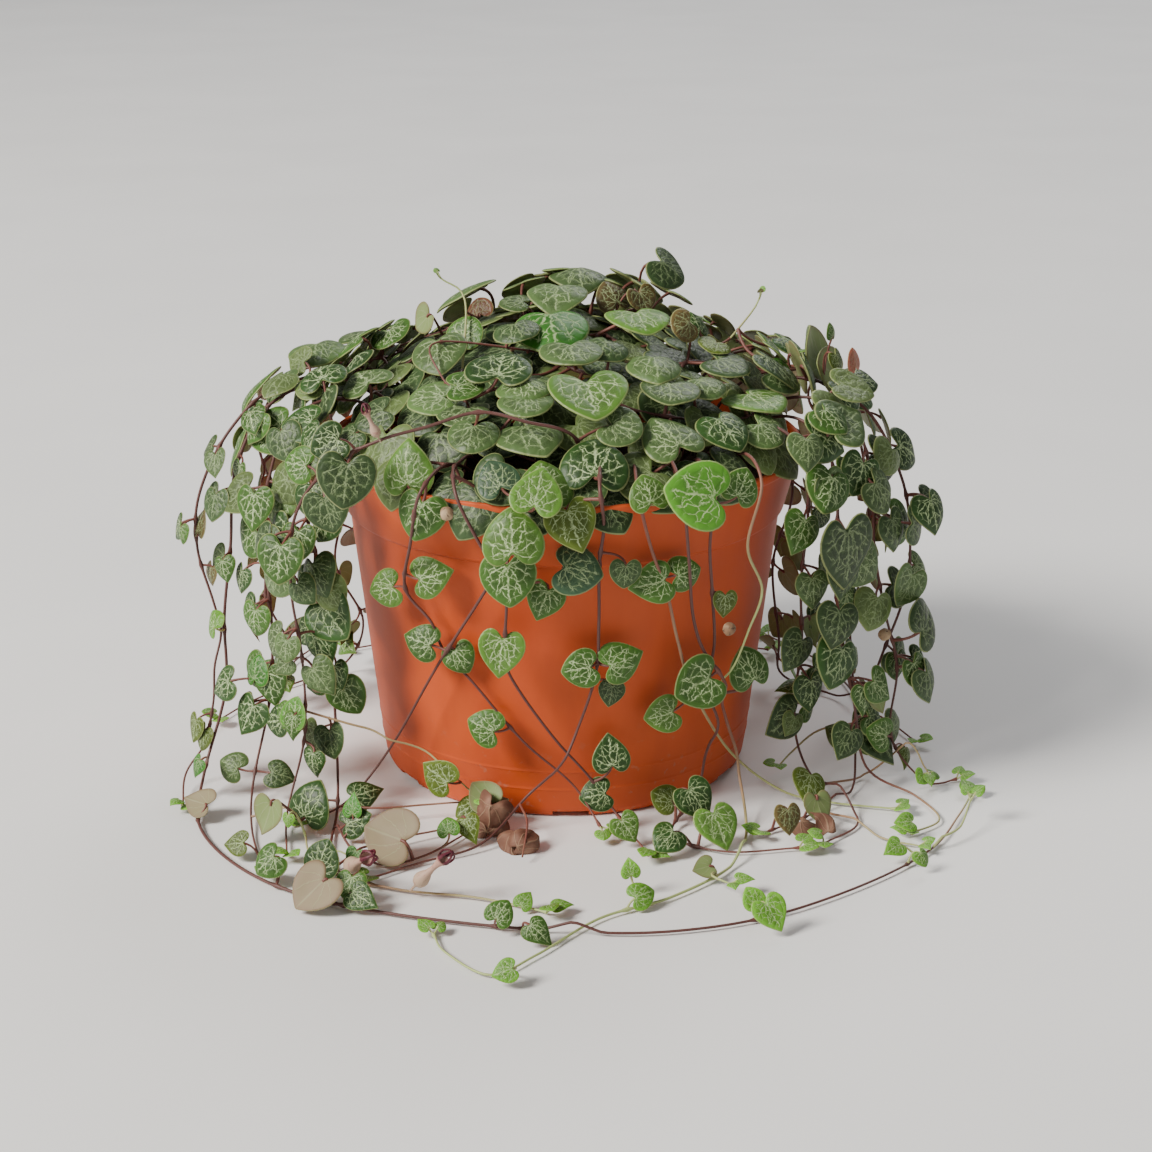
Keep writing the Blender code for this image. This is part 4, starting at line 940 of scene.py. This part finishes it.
def plate_points(notch, leaf, width):
    """A blade's rough outline: the notch, the lobes, the sides and the tip."""
    across, along, face = leaf
    half = [(0.30, -0.16, 0.04), (0.49, 0.08, 0.06), (0.36, 0.44, 0.06)]
    path = half + [(0.0, 0.76, 0.05)] + [(-x, y, drop) for x, y, drop in reversed(half)]
    return [notch] + [notch + (across * x + along * y - face * drop) * width for x, y, drop in path]


PLATE_FACES = [(0, i, i + 1) for i in range(1, 7)]

# How far a blade is lifted off its place or sunk behind it, in millimetres, in the order tried.
LIFTS = (0, 1.2, 2.4, -1.2, 3.6, 5.0, -2.4, 6.5)


def clear_place(notch, leaf, width, taken):
    """The notch moved off the pot, the floor and the blades already placed, or None if there is no room."""
    for lift in LIFTS:
        spot = notch + leaf[2] * lift * MM
        points = plate_points(spot, leaf, width)
        push = 0.0
        for point in points:
            radius = math.hypot(point.x, point.y)
            if point.z < POT_H and radius > 0.75 * RIM_R:
                push = max(push, outer_radius(point.z) + 1.0 * MM - radius)
        spot += Vector((spot.x, spot.y, 0)).normalized() * push
        points = plate_points(spot, leaf, width)
        spot.z += max(0.0, 0.8 * MM - min(point.z for point in points))
        points = plate_points(spot, leaf, width)
        shape = BVHTree.FromPolygons([tuple(point) for point in points], PLATE_FACES)
        centre = spot + leaf[1] * 0.3 * width
        near = [other for other, place, reach in taken if (place - centre).length < 0.62 * (reach + width)]
        if not any(shape.overlap(other) for other in near):
            taken.append((shape, centre, width))
            return spot
    return None


draw = random.Random(11)
wanted = [placed_leaf(*values) for values in CROWN_LEAVES + FRONT_LEAVES + SIDE_LEAVES + FLOOR_LEAVES]
wanted += rim_leaves(RIM_ROWS, *RIM_TURN, RIM_TONES, draw)
wanted += mound_leaves(wanted, *UPPER_LAYER, draw)
for name, values in PAIRS.items():
    wanted += paired_leaves(stems[name], *values, SIDE_TONES if values[-1] else REAR_TONES, draw)
for name, route in stems.items():
    if name.startswith("vine") and route[-1].z < 5 * MM:
        wanted += tip_leaves(route, *TIP_WIDTHS, draw)
    for _, young_at_end, line in shoots[name]:
        if young_at_end > BUD_YOUTH:
            wanted += tip_leaves(line, *(BUD_WIDTHS if line[-1].z > POT_H else SHOOT_WIDTHS), draw)
wanted += mound_leaves([], *UNDER_LAYER, draw)

stem_names, stem_points = [], []
for name, route in stems.items():
    for line in [route] + [shoot[2][2:] for shoot in shoots[name]]:
        stem_names += [name] * len(line)
        stem_points += line
stem_tree = tree_of(stem_points)
leaves = {name: [] for name in stems}
taken = []
for notch, leaf, width, tone in wanted:
    spot = clear_place(notch, leaf, width, taken)
    if spot is not None:
        root, index, _ = stem_tree.find(spot - leaf[1] * 2 * MM)
        leaves[stem_names[index]].append((root, spot, leaf, width, tone))


# ---------------------------------------------------------------------------------------------------
# Stems and leaf stalks as grown: round tubes that taper to their ends, with a swelling at each joint.

bark, start, shader = new_material("stem_bark", Metallic=0.0)
place = start.node("ShaderNodeTexCoord", output="Object")
youth = start.node("ShaderNodeAttribute", {"attribute_name": "youth"}, output="Fac")
patches = speckle(start, place, 120.0, 3.0)
skin = start.node("ShaderNodeValToRGB", {"stops": [
    (0.0, (0.100, 0.036, 0.030)), (0.3, (0.190, 0.062, 0.045)), (0.62, (0.350, 0.220, 0.120)),
    (1.0, (0.400, 0.480, 0.180))]}, {"Fac": youth + (patches - 0.5) * 0.35})
ridges = speckle(start, place, 900.0, 2.0)
feed(shader, Base_Color=skin, Roughness=0.45 + ridges * 0.15, Normal=bumped(ridges, 0.25, 0.0002))

tube_tree, lines = new_tree("stem_tubes", Sides="Int", Finish="Material")
curves = lines.node("GeometryNodeMeshToCurve", None, {"Mesh": lines})
ring = lines.node("GeometryNodeCurvePrimitiveCircle", None,
                  {"Resolution": lines.out("Sides"), "Radius": 1.0})
tubes = lines.node("GeometryNodeCurveToMesh", None, {"Curve": curves, "Profile Curve": ring,
                                                      "Scale": named(lines, "radius"), "Fill Caps": True})
tubes = lines.node("GeometryNodeSetShadeSmooth", None, {"Geometry": tubes})
tubes = lines.node("GeometryNodeRealizeInstances", None, {"Geometry": tubes})
end_tree(lines.node("GeometryNodeSetMaterial", None, {"Geometry": tubes, "Material": lines.out("Finish")}))


def line_host(name, runs):
    """Lines for the tubes: each run is a list of (point, radius, youth)."""
    mesh = bpy.data.meshes.new(name)
    points, edges = [], []
    for run in runs:
        edges += [(len(points) + i, len(points) + i + 1) for i in range(len(run) - 1)]
        points += run
    mesh.from_pydata([tuple(point) for point, _, _ in points], edges, [])
    keep(mesh, "radius", "FLOAT", [radius for _, radius, _ in points])
    keep(mesh, "youth", "FLOAT", [youth for _, _, youth in points])
    return in_scene(name, mesh)


def drop_attributes(made, *names):
    for name in names:
        found = made.data.attributes.get(name)
        if found:
            made.data.attributes.remove(found)


def stem_run(name, route, roots):
    """A stem's line, thinner to its end, swollen where leaves grow from it."""
    pale_from, pale_to = YOUNG_FROM.get(name, (0.85, 1.4))
    run = []
    for i, point in enumerate(route):
        share = i / (len(route) - 1)
        swell = max([0.0] + [1 - (point - root).length / (1.6 * MM) for root in roots])
        radius = STEM_R + (STEM_TIP_R - STEM_R) * share**2 + 0.28 * MM * max(0.0, swell)
        youth = min(1.0, max(0.0, (share - pale_from) / (pale_to - pale_from)))
        run.append((point, radius, youth))
    return run


def stalk_run(root, notch, leaf, width, youth):
    """A leaf stalk's line: out of the stem, bowed behind the blade, and into its notch."""
    _, along, face = leaf
    end = notch + along * 0.05 * width - face * 0.012 * width
    reach = (end - root).length
    bend = end - along * 0.45 * reach - face * 0.25 * reach
    bend.z = max(bend.z, MM)
    run = []
    for i in range(9):
        share = i / 8
        point = root.lerp(bend, share).lerp(bend.lerp(end, share), share)
        radius = STALK_R * (0.55 + 0.045 * width / MM) * (1.25 - 0.35 * math.sin(math.pi * share))
        run.append((point, radius, youth))
    return run


def shoot_run(young_at_foot, young_at_end, route):
    """A side shoot's line: half as thick as a stem at its foot, and thinner to its end."""
    run = []
    for i, point in enumerate(route):
        share = i / (len(route) - 1)
        radius = STEM_TIP_R * (1.35 - 0.45 * share)
        run.append((point, radius, young_at_foot + (young_at_end - young_at_foot) * share))
    return run


YOUNG_TONES = {"young": 0.95, "bright": 0.45, "light": 0.3, "vivid": 0.35}
for name, route in stems.items():
    runs = [stem_run(name, route, [leaf[0] for leaf in leaves[name]])]
    runs += [shoot_run(*shoot) for shoot in shoots[name]]
    for root, notch, leaf, width, tone in leaves[name]:
        runs.append(stalk_run(root, notch, leaf, width, YOUNG_TONES.get(tone, 0.2)))
    stem = finished(line_host(name + "_stem", runs), tube_tree, {"Sides": 8, "Finish": bark})
    drop_attributes(stem, "radius")
    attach(stem, "root")
    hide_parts(name)


# ---------------------------------------------------------------------------------------------------
# Leaves: fleshy hearts about a millimetre thick, wide and kidney-shaped on the mound, pointed on the
# hanging ends. Pale veins run from the notch and break up into a net; the back is pale and plain.

blade_face, start, shader = new_material("leaf_face", Metallic=0.0, Specular_IOR_Level=0.3)
x_y_edge = start.node("ShaderNodeAttribute", {"attribute_name": "blade"}, output="Vector")
tint = start.node("ShaderNodeAttribute", {"attribute_name": "tint"}, output="Color")
traits = start.node("ShaderNodeAttribute", {"attribute_name": "traits"}, output="Vector")
vein_share = start.node("ShaderNodeSeparateXYZ", None, {"Vector": traits}, "X")
haze, seed = vein_share.out("Y"), vein_share.out("Z")
shift = start.node("ShaderNodeCombineXYZ", None, {"X": seed * 37.0, "Y": seed * 19.0, "Z": seed * 53.0})
local = x_y_edge.moved(shift)
warped = x_y_edge.moved(speckle(start, local, 5.0, 2.0, "Color").moved((-0.5, -0.5, -0.5)).times(0.12))
x = start.node("ShaderNodeSeparateXYZ", None, {"Vector": warped}, "X")
y = x.out("Y")
edge = start.node("ShaderNodeSeparateXYZ", None, {"Vector": x_y_edge}, "Z")
side = abs(x)


def vein(angle, from_y, bow, width):
    """A pale line from the midrib at from_y, at an angle to it, bowed towards the tip."""
    sine, cosine = math.sin(math.radians(angle)), math.cos(math.radians(angle))
    ahead = side * sine + (y - from_y) * cosine
    off = abs(side * cosine - (y - from_y) * sine + ahead * ahead * bow)
    return off.between(width, width * 0.25) * ahead.between(-0.01, 0.02)


VEINS = [(0, 0.0, 0.0, 0.019), (38, 0.0, 0.5, 0.015), (76, 0.0, 0.55, 0.016), (118, 0.0, 0.7, 0.013),
         (48, 0.28, 0.4, 0.012)]
main = vein(*VEINS[0])
for values in VEINS[1:]:
    main = main.larger(vein(*values))
flat = start.node("ShaderNodeCombineXYZ", None, {"X": x + seed * 31.0, "Y": y * 0.92 + seed * 17.0})
net = start.node("ShaderNodeTexVoronoi", {"voronoi_dimensions": "2D", "feature": "DISTANCE_TO_EDGE"},
                 {"Vector": flat, "Scale": 5.9, "Randomness": 0.95}, "Distance")
broken = speckle(start, local, 8.0, 2.0)
lines = net.between(0.054, 0.014) * broken.between(0.34, 0.50)
inside = edge.between(0.92, 0.74)
pale_lines = main.larger(lines * 0.8) * inside * (0.30 + broken.between(0.28, 0.6) * 0.70) * vein_share
grains = speckle(start, local, 38.0, 3.0)
glow = net.between(0.24, 0.02).larger(main) * inside * grains.between(0.30, 0.62) * (0.3 + haze * 0.7)
mottle = grains.between(0.46, 0.66) * haze * inside
body = speckle(start, local, 3.0, 2.0).between(0.3, 0.7).mix(tint.times(0.78), tint.times(1.15))
body = (glow * 0.52).mix(body, (0.20, 0.30, 0.11))
body = (mottle * 0.45).mix(body, (0.25, 0.33, 0.16))
body = (edge.between(0.68, 0.94) * 0.7).mix(body, tint.times(1.6))
body = (edge.between(0.955, 0.99) * 0.5).mix(body, (0.38, 0.42, 0.17))
body = pale_lines.mix(body, (0.52, 0.65, 0.34))
relief = pale_lines * -0.6 + net.between(0.0, 0.3) * 0.5 + broken * 0.3
feed(shader, Base_Color=body, Roughness=0.36 + broken * 0.16 + pale_lines * 0.1,
     Normal=bumped(relief, 0.35, 0.0004))

blade_back, start, shader = new_material("leaf_back", Metallic=0.0, Specular_IOR_Level=0.3)
place = start.node("ShaderNodeTexCoord", output="Object")
x_y_edge = start.node("ShaderNodeAttribute", {"attribute_name": "blade"}, output="Vector")
traits = start.node("ShaderNodeAttribute", {"attribute_name": "traits"}, output="Vector")
seed = start.node("ShaderNodeSeparateXYZ", None, {"Vector": traits}, "Z")
x = start.node("ShaderNodeSeparateXYZ", None, {"Vector": x_y_edge}, "X")
y = x.out("Y")
side = abs(x)
ribs = vein(0, 0.0, 0.0, 0.022).larger(vein(40, 0.0, 0.4, 0.015)).larger(vein(80, 0.0, 0.5, 0.015))
cloud = speckle(start, place, 140.0, 3.0)
blush = (seed.between(0.35, 0.95) * 0.7 + cloud * 0.3).mix((0.19, 0.28, 0.09), (0.27, 0.19, 0.125))
blush = (ribs * 0.35).mix(blush, (0.36, 0.38, 0.22))
blush = (x.out("Z").between(0.84, 1.0) * 0.6).mix(blush, (0.17, 0.09, 0.055))
feed(shader, Base_Color=blush, Roughness=0.5 + cloud * 0.1,
     Normal=bumped(ribs * 0.5 + cloud * 0.4, 0.3, 0.0003))

# Half outlines at a width of 1, from the notch round the lobe to the tip.
OUTLINES = [
    [(0.05, -0.07), (0.15, -0.19), (0.29, -0.23), (0.43, -0.15), (0.51, 0.03), (0.48, 0.24), (0.37, 0.41),
     (0.21, 0.52), (0.08, 0.565), (0.0, 0.575)],
    [(0.05, -0.06), (0.14, -0.17), (0.27, -0.21), (0.41, -0.14), (0.50, 0.04), (0.48, 0.26), (0.37, 0.46),
     (0.20, 0.62), (0.06, 0.70), (0.0, 0.73)],
    [(0.04, -0.06), (0.13, -0.17), (0.27, -0.21), (0.41, -0.12), (0.495, 0.07), (0.46, 0.28), (0.33, 0.49),
     (0.16, 0.66), (0.04, 0.77), (0.0, 0.81)],
    [(0.05, -0.05), (0.15, -0.13), (0.28, -0.14), (0.42, -0.04), (0.48, 0.12), (0.42, 0.34), (0.28, 0.57),
     (0.12, 0.77), (0.03, 0.91), (0.0, 0.96)],
]
BLADE_HEART = Vector((0.0, 0.20))
RINGS = (0.5, 0.86)


def faces_out(mesh):
    """Turns the faces of closed shapes outwards."""
    shape = bmesh.new()
    shape.from_mesh(mesh)
    bmesh.ops.recalc_face_normals(shape, faces=shape.faces)
    shape.to_mesh(mesh)
    shape.free()


def blade_mesh(name, half, thick):
    """A closed blade lying on XY with its notch at the origin. It keeps each point's place in 'blade'."""
    outline = [Vector((0.0, 0.0))] + [Vector(point) for point in half]
    outline += [Vector((-point.x, point.y)) for point in reversed(outline[1:-1])]
    count = len(outline)
    points, places = [(*BLADE_HEART, 0.5 * thick)], [(*BLADE_HEART, 0.0)]
    for share, height in ((RINGS[0], 0.5), (RINGS[1], 0.46), (1.0, 0.12), (1.0, -0.2), (RINGS[1], -0.44)):
        for point in outline:
            spot = BLADE_HEART.lerp(point, share)
            points.append((*spot, height * thick))
            places.append((*spot, share))
    points.append((*BLADE_HEART, -0.5 * thick))
    places.append((*BLADE_HEART, 0.0))
    faces = []
    for i in range(count):
        j = (i + 1) % count
        faces.append((0, 1 + j, 1 + i))
        for ring in range(4):
            low, high = 1 + ring * count, 1 + (ring + 1) * count
            faces.append((low + i, low + j, high + j, high + i))
        faces.append((len(points) - 1, 1 + 4 * count + i, 1 + 4 * count + j))
    made = mesh_object(name, points, faces)
    faces_out(made.data)
    keep(made.data, "blade", "FLOAT_VECTOR", [number for point in places for number in point])
    under = [polygon.center.z < -0.3 * thick for polygon in made.data.polygons]
    keep(made.data, "under", "BOOLEAN", under, "FACE")
    return made


blades = bpy.data.collections.new("leaf_blades")
for i, half in enumerate(OUTLINES):
    blade = blade_mesh(f"blade_{i + 1}", half, 0.062)
    bpy.context.scene.collection.objects.unlink(blade)
    blades.objects.link(blade)

leaf_tree, spots = new_tree("leaf_setting", Blades="Collection", Smoothness="Int", Face="Material",
                            Back="Material")
kinds = spots.node("GeometryNodeCollectionInfo", {"transform_space": "ORIGINAL"},
                   {"Collection": spots.out("Blades"), "Separate Children": True, "Reset Children": True})
grown = spots.node("GeometryNodeInstanceOnPoints", None,
                   {"Points": spots, "Instance": kinds, "Pick Instance": True,
                    "Instance Index": named(spots, "kind", "INT"),
                    "Rotation": named(spots, "turn", "QUATERNION"), "Scale": named(spots, "width")})
grown = spots.node("GeometryNodeRealizeInstances", None, {"Geometry": grown})
x = spots.node("ShaderNodeSeparateXYZ", None, {"Vector": named(spots, "blade", "FLOAT_VECTOR")}, "X")
y, edge = x.out("Y"), x.out("Z")
cup = spots.node("ShaderNodeSeparateXYZ", None, {"Vector": named(spots, "bends", "FLOAT_VECTOR")}, "X")
fold, curl = cup.out("Y"), cup.out("Z")
phase = spots.node("ShaderNodeSeparateXYZ", None, {"Vector": named(spots, "traits", "FLOAT_VECTOR")},
                   "Z") * 6.28
wave = spots.math("SINE", x * 9.0 + y * 5.0 + phase) * edge * edge * 0.018
ahead = (y - 0.15).larger(0.0)
lift = wave - cup * (x * x + (y - 0.25) * (y - 0.25) - 0.0625) - fold * abs(x) - curl * ahead * ahead
face = spots.node("FunctionNodeRotateVector", None,
                  {"Vector": (0.0, 0.0, 1.0), "Rotation": named(spots, "turn", "QUATERNION")})
grown = spots.node("GeometryNodeSetPosition", None,
                   {"Geometry": grown, "Offset": face.times(lift * named(spots, "width"))})
grown = spots.node("GeometryNodeSubdivisionSurface", None, {"Mesh": grown, "Level": spots.out("Smoothness")})
grown = spots.node("GeometryNodeSetShadeSmooth", None, {"Geometry": grown})
grown = spots.node("GeometryNodeSetMaterial", None, {"Geometry": grown, "Material": spots.out("Face")})
end_tree(spots.node("GeometryNodeSetMaterial", None, {
    "Geometry": grown, "Selection": named(spots, "under", "BOOLEAN"), "Material": spots.out("Back")}))


# Which outlines grow on the mound and on hanging stems, wide leaves first, and the least and most of
# each bend: how far a blade is cupped, folded along its midrib and curled down at its tip.
MOUND_SHAPES = (0, 0, 1)
HANGING_SHAPES = ((1, 1, 2), (1, 2, 2, 3))
BENDS = ((-0.15, 0.45), (-0.12, 0.22), (0.0, 0.45))

# What only sets the leaves, and comes off once they are grown.
SETTING = ("turn", "width", "kind", "bends", "under")

# A leaf's seed runs from 0 to 1, and its back goes from green to beige with it.
SEED_FROM = {"beige": 0.7}
SEED_SPAN = {"beige": 0.3, "under": 0.4}


def leaf_host(name, grown_leaves, draw, crumple=1.0):
    """A point for each leaf, with its turn, width, outline, bends, colour and seed as attributes."""
    mesh = bpy.data.meshes.new(name)
    mesh.from_pydata([tuple(spot) for _, spot, _, _, _ in grown_leaves], [], [])
    columns = {"turn": [], "width": [], "kind": [], "bends": [], "tint": [], "traits": []}
    for _, spot, (across, along, face), width, tone in grown_leaves:
        turn = Matrix((across, along, face)).transposed().to_quaternion()
        colour, veins, haze = TONES[tone]
        hanging = math.hypot(spot.x, spot.y) > 0.97 * RIM_R or spot.z < POT_H
        shade = draw.uniform(0.72, 1.2)
        columns["turn"] += list(turn)
        columns["width"].append(width)
        shapes = HANGING_SHAPES[width < 9 * MM] if hanging else MOUND_SHAPES
        columns["kind"].append(1 if tone == "bright" else draw.choice(shapes))
        columns["bends"] += [crumple * draw.uniform(*limits) for limits in BENDS]
        columns["tint"] += [colour[0] * shade, colour[1] * shade, colour[2] * shade, 1.0]
        columns["traits"] += [veins * draw.uniform(0.8, 1.05), haze * draw.uniform(0.6, 1.2),
                              SEED_FROM.get(tone, 0.0) + SEED_SPAN.get(tone, 1.0) * draw.random()]
    kinds = {"turn": "QUATERNION", "width": "FLOAT", "kind": "INT", "bends": "FLOAT_VECTOR",
             "tint": "FLOAT_COLOR", "traits": "FLOAT_VECTOR"}
    for label, kind in kinds.items():
        keep(mesh, label, kind, columns[label])
    return in_scene(name, mesh)


def rested(made):
    """Presses what would reach under the surface flat on it, and keeps its order of heights."""
    soft = 0.8 * MM
    for vertex in made.data.vertices:
        if vertex.co.z < soft:
            vertex.co.z = soft * math.exp((vertex.co.z - soft) / soft)


draw = random.Random(5)
for name in stems:
    if not leaves[name]:
        continue
    foliage = finished(leaf_host(name + "_leaves", leaves[name], draw), leaf_tree,
                       {"Blades": blades, "Smoothness": 1, "Face": blade_face, "Back": blade_back})
    drop_attributes(foliage, *SETTING)
    rested(foliage)
    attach(foliage, "root")
    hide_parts(name)


# ---------------------------------------------------------------------------------------------------
# Dry leaves: old leaves that have dropped off round the pot's foot, brown, thin and curled as they
# dried. They lie loose on the surface, two to a heap.

DRY_LEAVES = [(-12, -66, 2, 260, 62, 10), (-21, -56, 4, 120, 40, 12), (60, -56, 2, 320, 70, 9)]
DRY_CRUMPLE = 2.6
DRY_FOLDS = 230.0
DRY_DEPTH = 1.3 * MM

# The folds' noise takes this seed, and would otherwise differ from run to run.
DRY_SEED = 4

dry_skin, start, shader = new_material("dry_leaf", Metallic=0.0, Specular_IOR_Level=0.25)
place = start.node("ShaderNodeTexCoord", output="Object")
x_y_edge = start.node("ShaderNodeAttribute", {"attribute_name": "blade"}, output="Vector")
x = start.node("ShaderNodeSeparateXYZ", None, {"Vector": x_y_edge}, "X")
y, edge = x.out("Y"), x.out("Z")
side = abs(x)
ribs = vein(0, 0.0, 0.0, 0.03).larger(vein(42, 0.0, 0.4, 0.02)).larger(vein(80, 0.0, 0.5, 0.02))
blotch, creases = speckle(start, place, 170.0, 4.0), speckle(start, place, 520.0, 3.0)
brown = blotch.between(0.35, 0.65).mix((0.150, 0.068, 0.044), (0.300, 0.165, 0.110))
brown = (edge.between(0.7, 1.0) * 0.6).mix(brown, (0.110, 0.048, 0.030))
brown = (ribs * 0.5).mix(brown, (0.360, 0.240, 0.150))
feed(shader, Base_Color=brown, Roughness=0.55 + creases * 0.25,
     Normal=bumped(creases * 0.7 + blotch * 0.3 + ribs * 0.4, 0.6, 0.0006))

noise.seed_set(DRY_SEED)
for i, (x, y, z, tip, lean, width) in enumerate(DRY_LEAVES):
    heap = [placed_leaf(x, y, z, tip, lean, width, "brown"),
            placed_leaf(x + 3, y - 2, z + 2, tip + 130, lean - 25, 0.8 * width, "brown")]
    host = leaf_host(f"dry_leaf_{i + 1}_blades", [(None, *leaf) for leaf in heap], draw, DRY_CRUMPLE)
    dry = finished(host, leaf_tree, {"Blades": blades, "Smoothness": 2, "Face": dry_skin, "Back": dry_skin})
    drop_attributes(dry, *SETTING)
    for vertex in dry.data.vertices:
        vertex.co += noise.noise_vector(vertex.co * DRY_FOLDS) * DRY_DEPTH
    rested(dry)
    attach(dry, "root")
    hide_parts(f"dry_leaf_{i + 1}")
for blade in list(blades.objects):
    bpy.data.objects.remove(blade)


# ---------------------------------------------------------------------------------------------------
# Flowers: small lanterns, each grown in one piece: a round bulb and a narrow tube of pale pink tissue,
# under five dark purple lobes that meet at the tip. A short stalk holds each to its stem.

FLOWERS = [(-43, -53.5, 99.4, 200, 25, 0.6), (-50, -83.5, 4.5, 300, 55, 1.0), (-34, -91, 3.8, 340, 40, 0.9)]
FLOWER_LENGTH = 15.0
TUBE_SIDES = 24
LOBES = 5
TUBE_PROFILE = [(0, -2.6), (0.30, -2.6), (0.32, -0.6), (0.7, 0.05), (1.5, 0.7), (1.98, 1.7), (2.05, 2.6),
                (1.65, 3.9), (1.0, 5.3), (0.74, 6.9), (0.78, 8.5), (1.12, 9.9), (1.72, 10.9), (1.86, 11.3),
                (1.70, 11.35), (1.3, 10.7), (0.6, 9.9), (0, 9.7)]
LOBE_PATH = [(1.62, 10.7), (1.98, 11.8), (1.95, 12.9), (1.45, 13.9), (0.75, 14.6), (0.12, 14.9)]
LOBE_HALF_WIDTHS = (0.60, 0.50, 0.40, 0.34, 0.28, 0.16)
LOBE_THICK = 0.16


def lobe_shape(angle):
    """A closed strip that arches from the tube's mouth to the tip, its edges folded back."""
    outward = Vector((math.cos(angle), math.sin(angle), 0))
    sideways = Vector((-math.sin(angle), math.cos(angle), 0))
    points = []
    for (radius, height), half in zip(LOBE_PATH, LOBE_HALF_WIDTHS):
        spine = outward * radius + Vector((0, 0, height))
        for across, out in ((-1, -0.9), (0, 1.0), (1, -0.9), (0.6, -2.2), (0, -0.6), (-0.6, -2.2)):
            points.append(spine + sideways * across * half + outward * out * LOBE_THICK)
    faces = [tuple(range(6)), tuple(reversed(range(len(points) - 6, len(points))))]
    for ring in range(0, len(points) - 6, 6):
        for k in range(6):
            faces.append((ring + k, ring + 6 + k, ring + 6 + (k + 1) % 6, ring + (k + 1) % 6))
    return points, faces


tissue, start, shader = new_material("flower_tissue", Metallic=0.0, Specular_IOR_Level=0.35)
place = start.node("ShaderNodeTexCoord", output="Object")
rise = start.node("ShaderNodeAttribute", {"attribute_name": "rise"}, output="Fac")
flush, freckles = speckle(start, place, 260.0, 3.0), speckle(start, place, 1100.0, 3.0)
petal = (rise.between(0.1, 0.7) * 0.5 + flush * 0.5).mix((0.46, 0.36, 0.24), (0.50, 0.26, 0.22))
petal = (freckles.between(0.58, 0.68) * 0.4).mix(petal, (0.30, 0.07, 0.08))
petal = rise.between(0.70, 0.78).mix(petal, (0.105, 0.016, 0.030))
feed(shader, Base_Color=petal, Roughness=0.42 + flush * 0.2, Normal=bumped(freckles, 0.3, 0.0002))

for i, (x, y, z, azimuth, lean, size) in enumerate(FLOWERS):
    points, faces = turned(TUBE_PROFILE, TUBE_SIDES)
    for k in range(LOBES):
        more_points, more_faces = lobe_shape(2 * math.pi * k / LOBES)
        faces += [tuple(index + len(points) for index in face) for face in more_faces]
        points += more_points
    heights = [point.z / FLOWER_LENGTH for point in points]
    lean, azimuth = math.radians(lean), math.radians(azimuth)
    upright = Vector((math.cos(azimuth) * math.sin(lean), math.sin(azimuth) * math.sin(lean),
                      math.cos(lean)))
    turn = Vector((0, 0, 1)).rotation_difference(upright)
    places = []
    for point, height in zip(points, heights):
        bowed = (point + Vector((0.9 * height * height, 0, 0))) * size
        places.append((turn @ bowed + Vector((x, y, z))) * MM)
    flower = mesh_object(f"flower_{i + 1}_bloom", places, faces, tissue)
    faces_out(flower.data)
    keep(flower.data, "rise", "FLOAT", heights)
    flower.data.shade_smooth()
    flower.data.set_sharp_from_angle(angle=math.radians(60))
    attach(flower, "root")
    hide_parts(f"flower_{i + 1}")


# ---------------------------------------------------------------------------------------------------
# Tubers: the bead-like tubers that form at old joints of the stems. They are corky, pale brown and
# lumpy, and as hard as a seed.

TUBERS = [(-27, -62, 83.5), (39, -53, 52), (-61, -35, 30), (80, -25, 40)]
TUBER_R = 1.6

cork, start, shader = new_material("tuber_cork", Metallic=0.0)
place = start.node("ShaderNodeTexCoord", output="Object")
patches, pores = speckle(start, place, 380.0, 3.0), speckle(start, place, 1400.0, 2.0)
bark_brown = patches.between(0.35, 0.65).mix((0.23, 0.13, 0.07), (0.42, 0.30, 0.18))
bark_brown = pores.between(0.60, 0.66).mix(bark_brown, (0.10, 0.055, 0.035))
feed(shader, Base_Color=bark_brown, Roughness=0.6 + patches * 0.3,
     Normal=bumped(pores + patches, 0.5, 0.0003))

for i, place in enumerate(TUBERS):
    shape = bmesh.new()
    bmesh.ops.create_icosphere(shape, subdivisions=3, radius=TUBER_R)
    for vertex in shape.verts:
        lumps = 1 + 0.16 * noise.noise(vertex.co * 0.9 + Vector(place)) + 0.05 * noise.noise(vertex.co * 3)
        vertex.co = (vertex.co * lumps + Vector(place)) * MM
    mesh = bpy.data.meshes.new(f"tuber_{i + 1}_bead")
    shape.to_mesh(mesh)
    shape.free()
    mesh.materials.append(cork)
    mesh.shade_smooth()
    tuber = in_scene(mesh.name, mesh)
    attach(tuber, "root")
    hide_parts(f"tuber_{i + 1}")
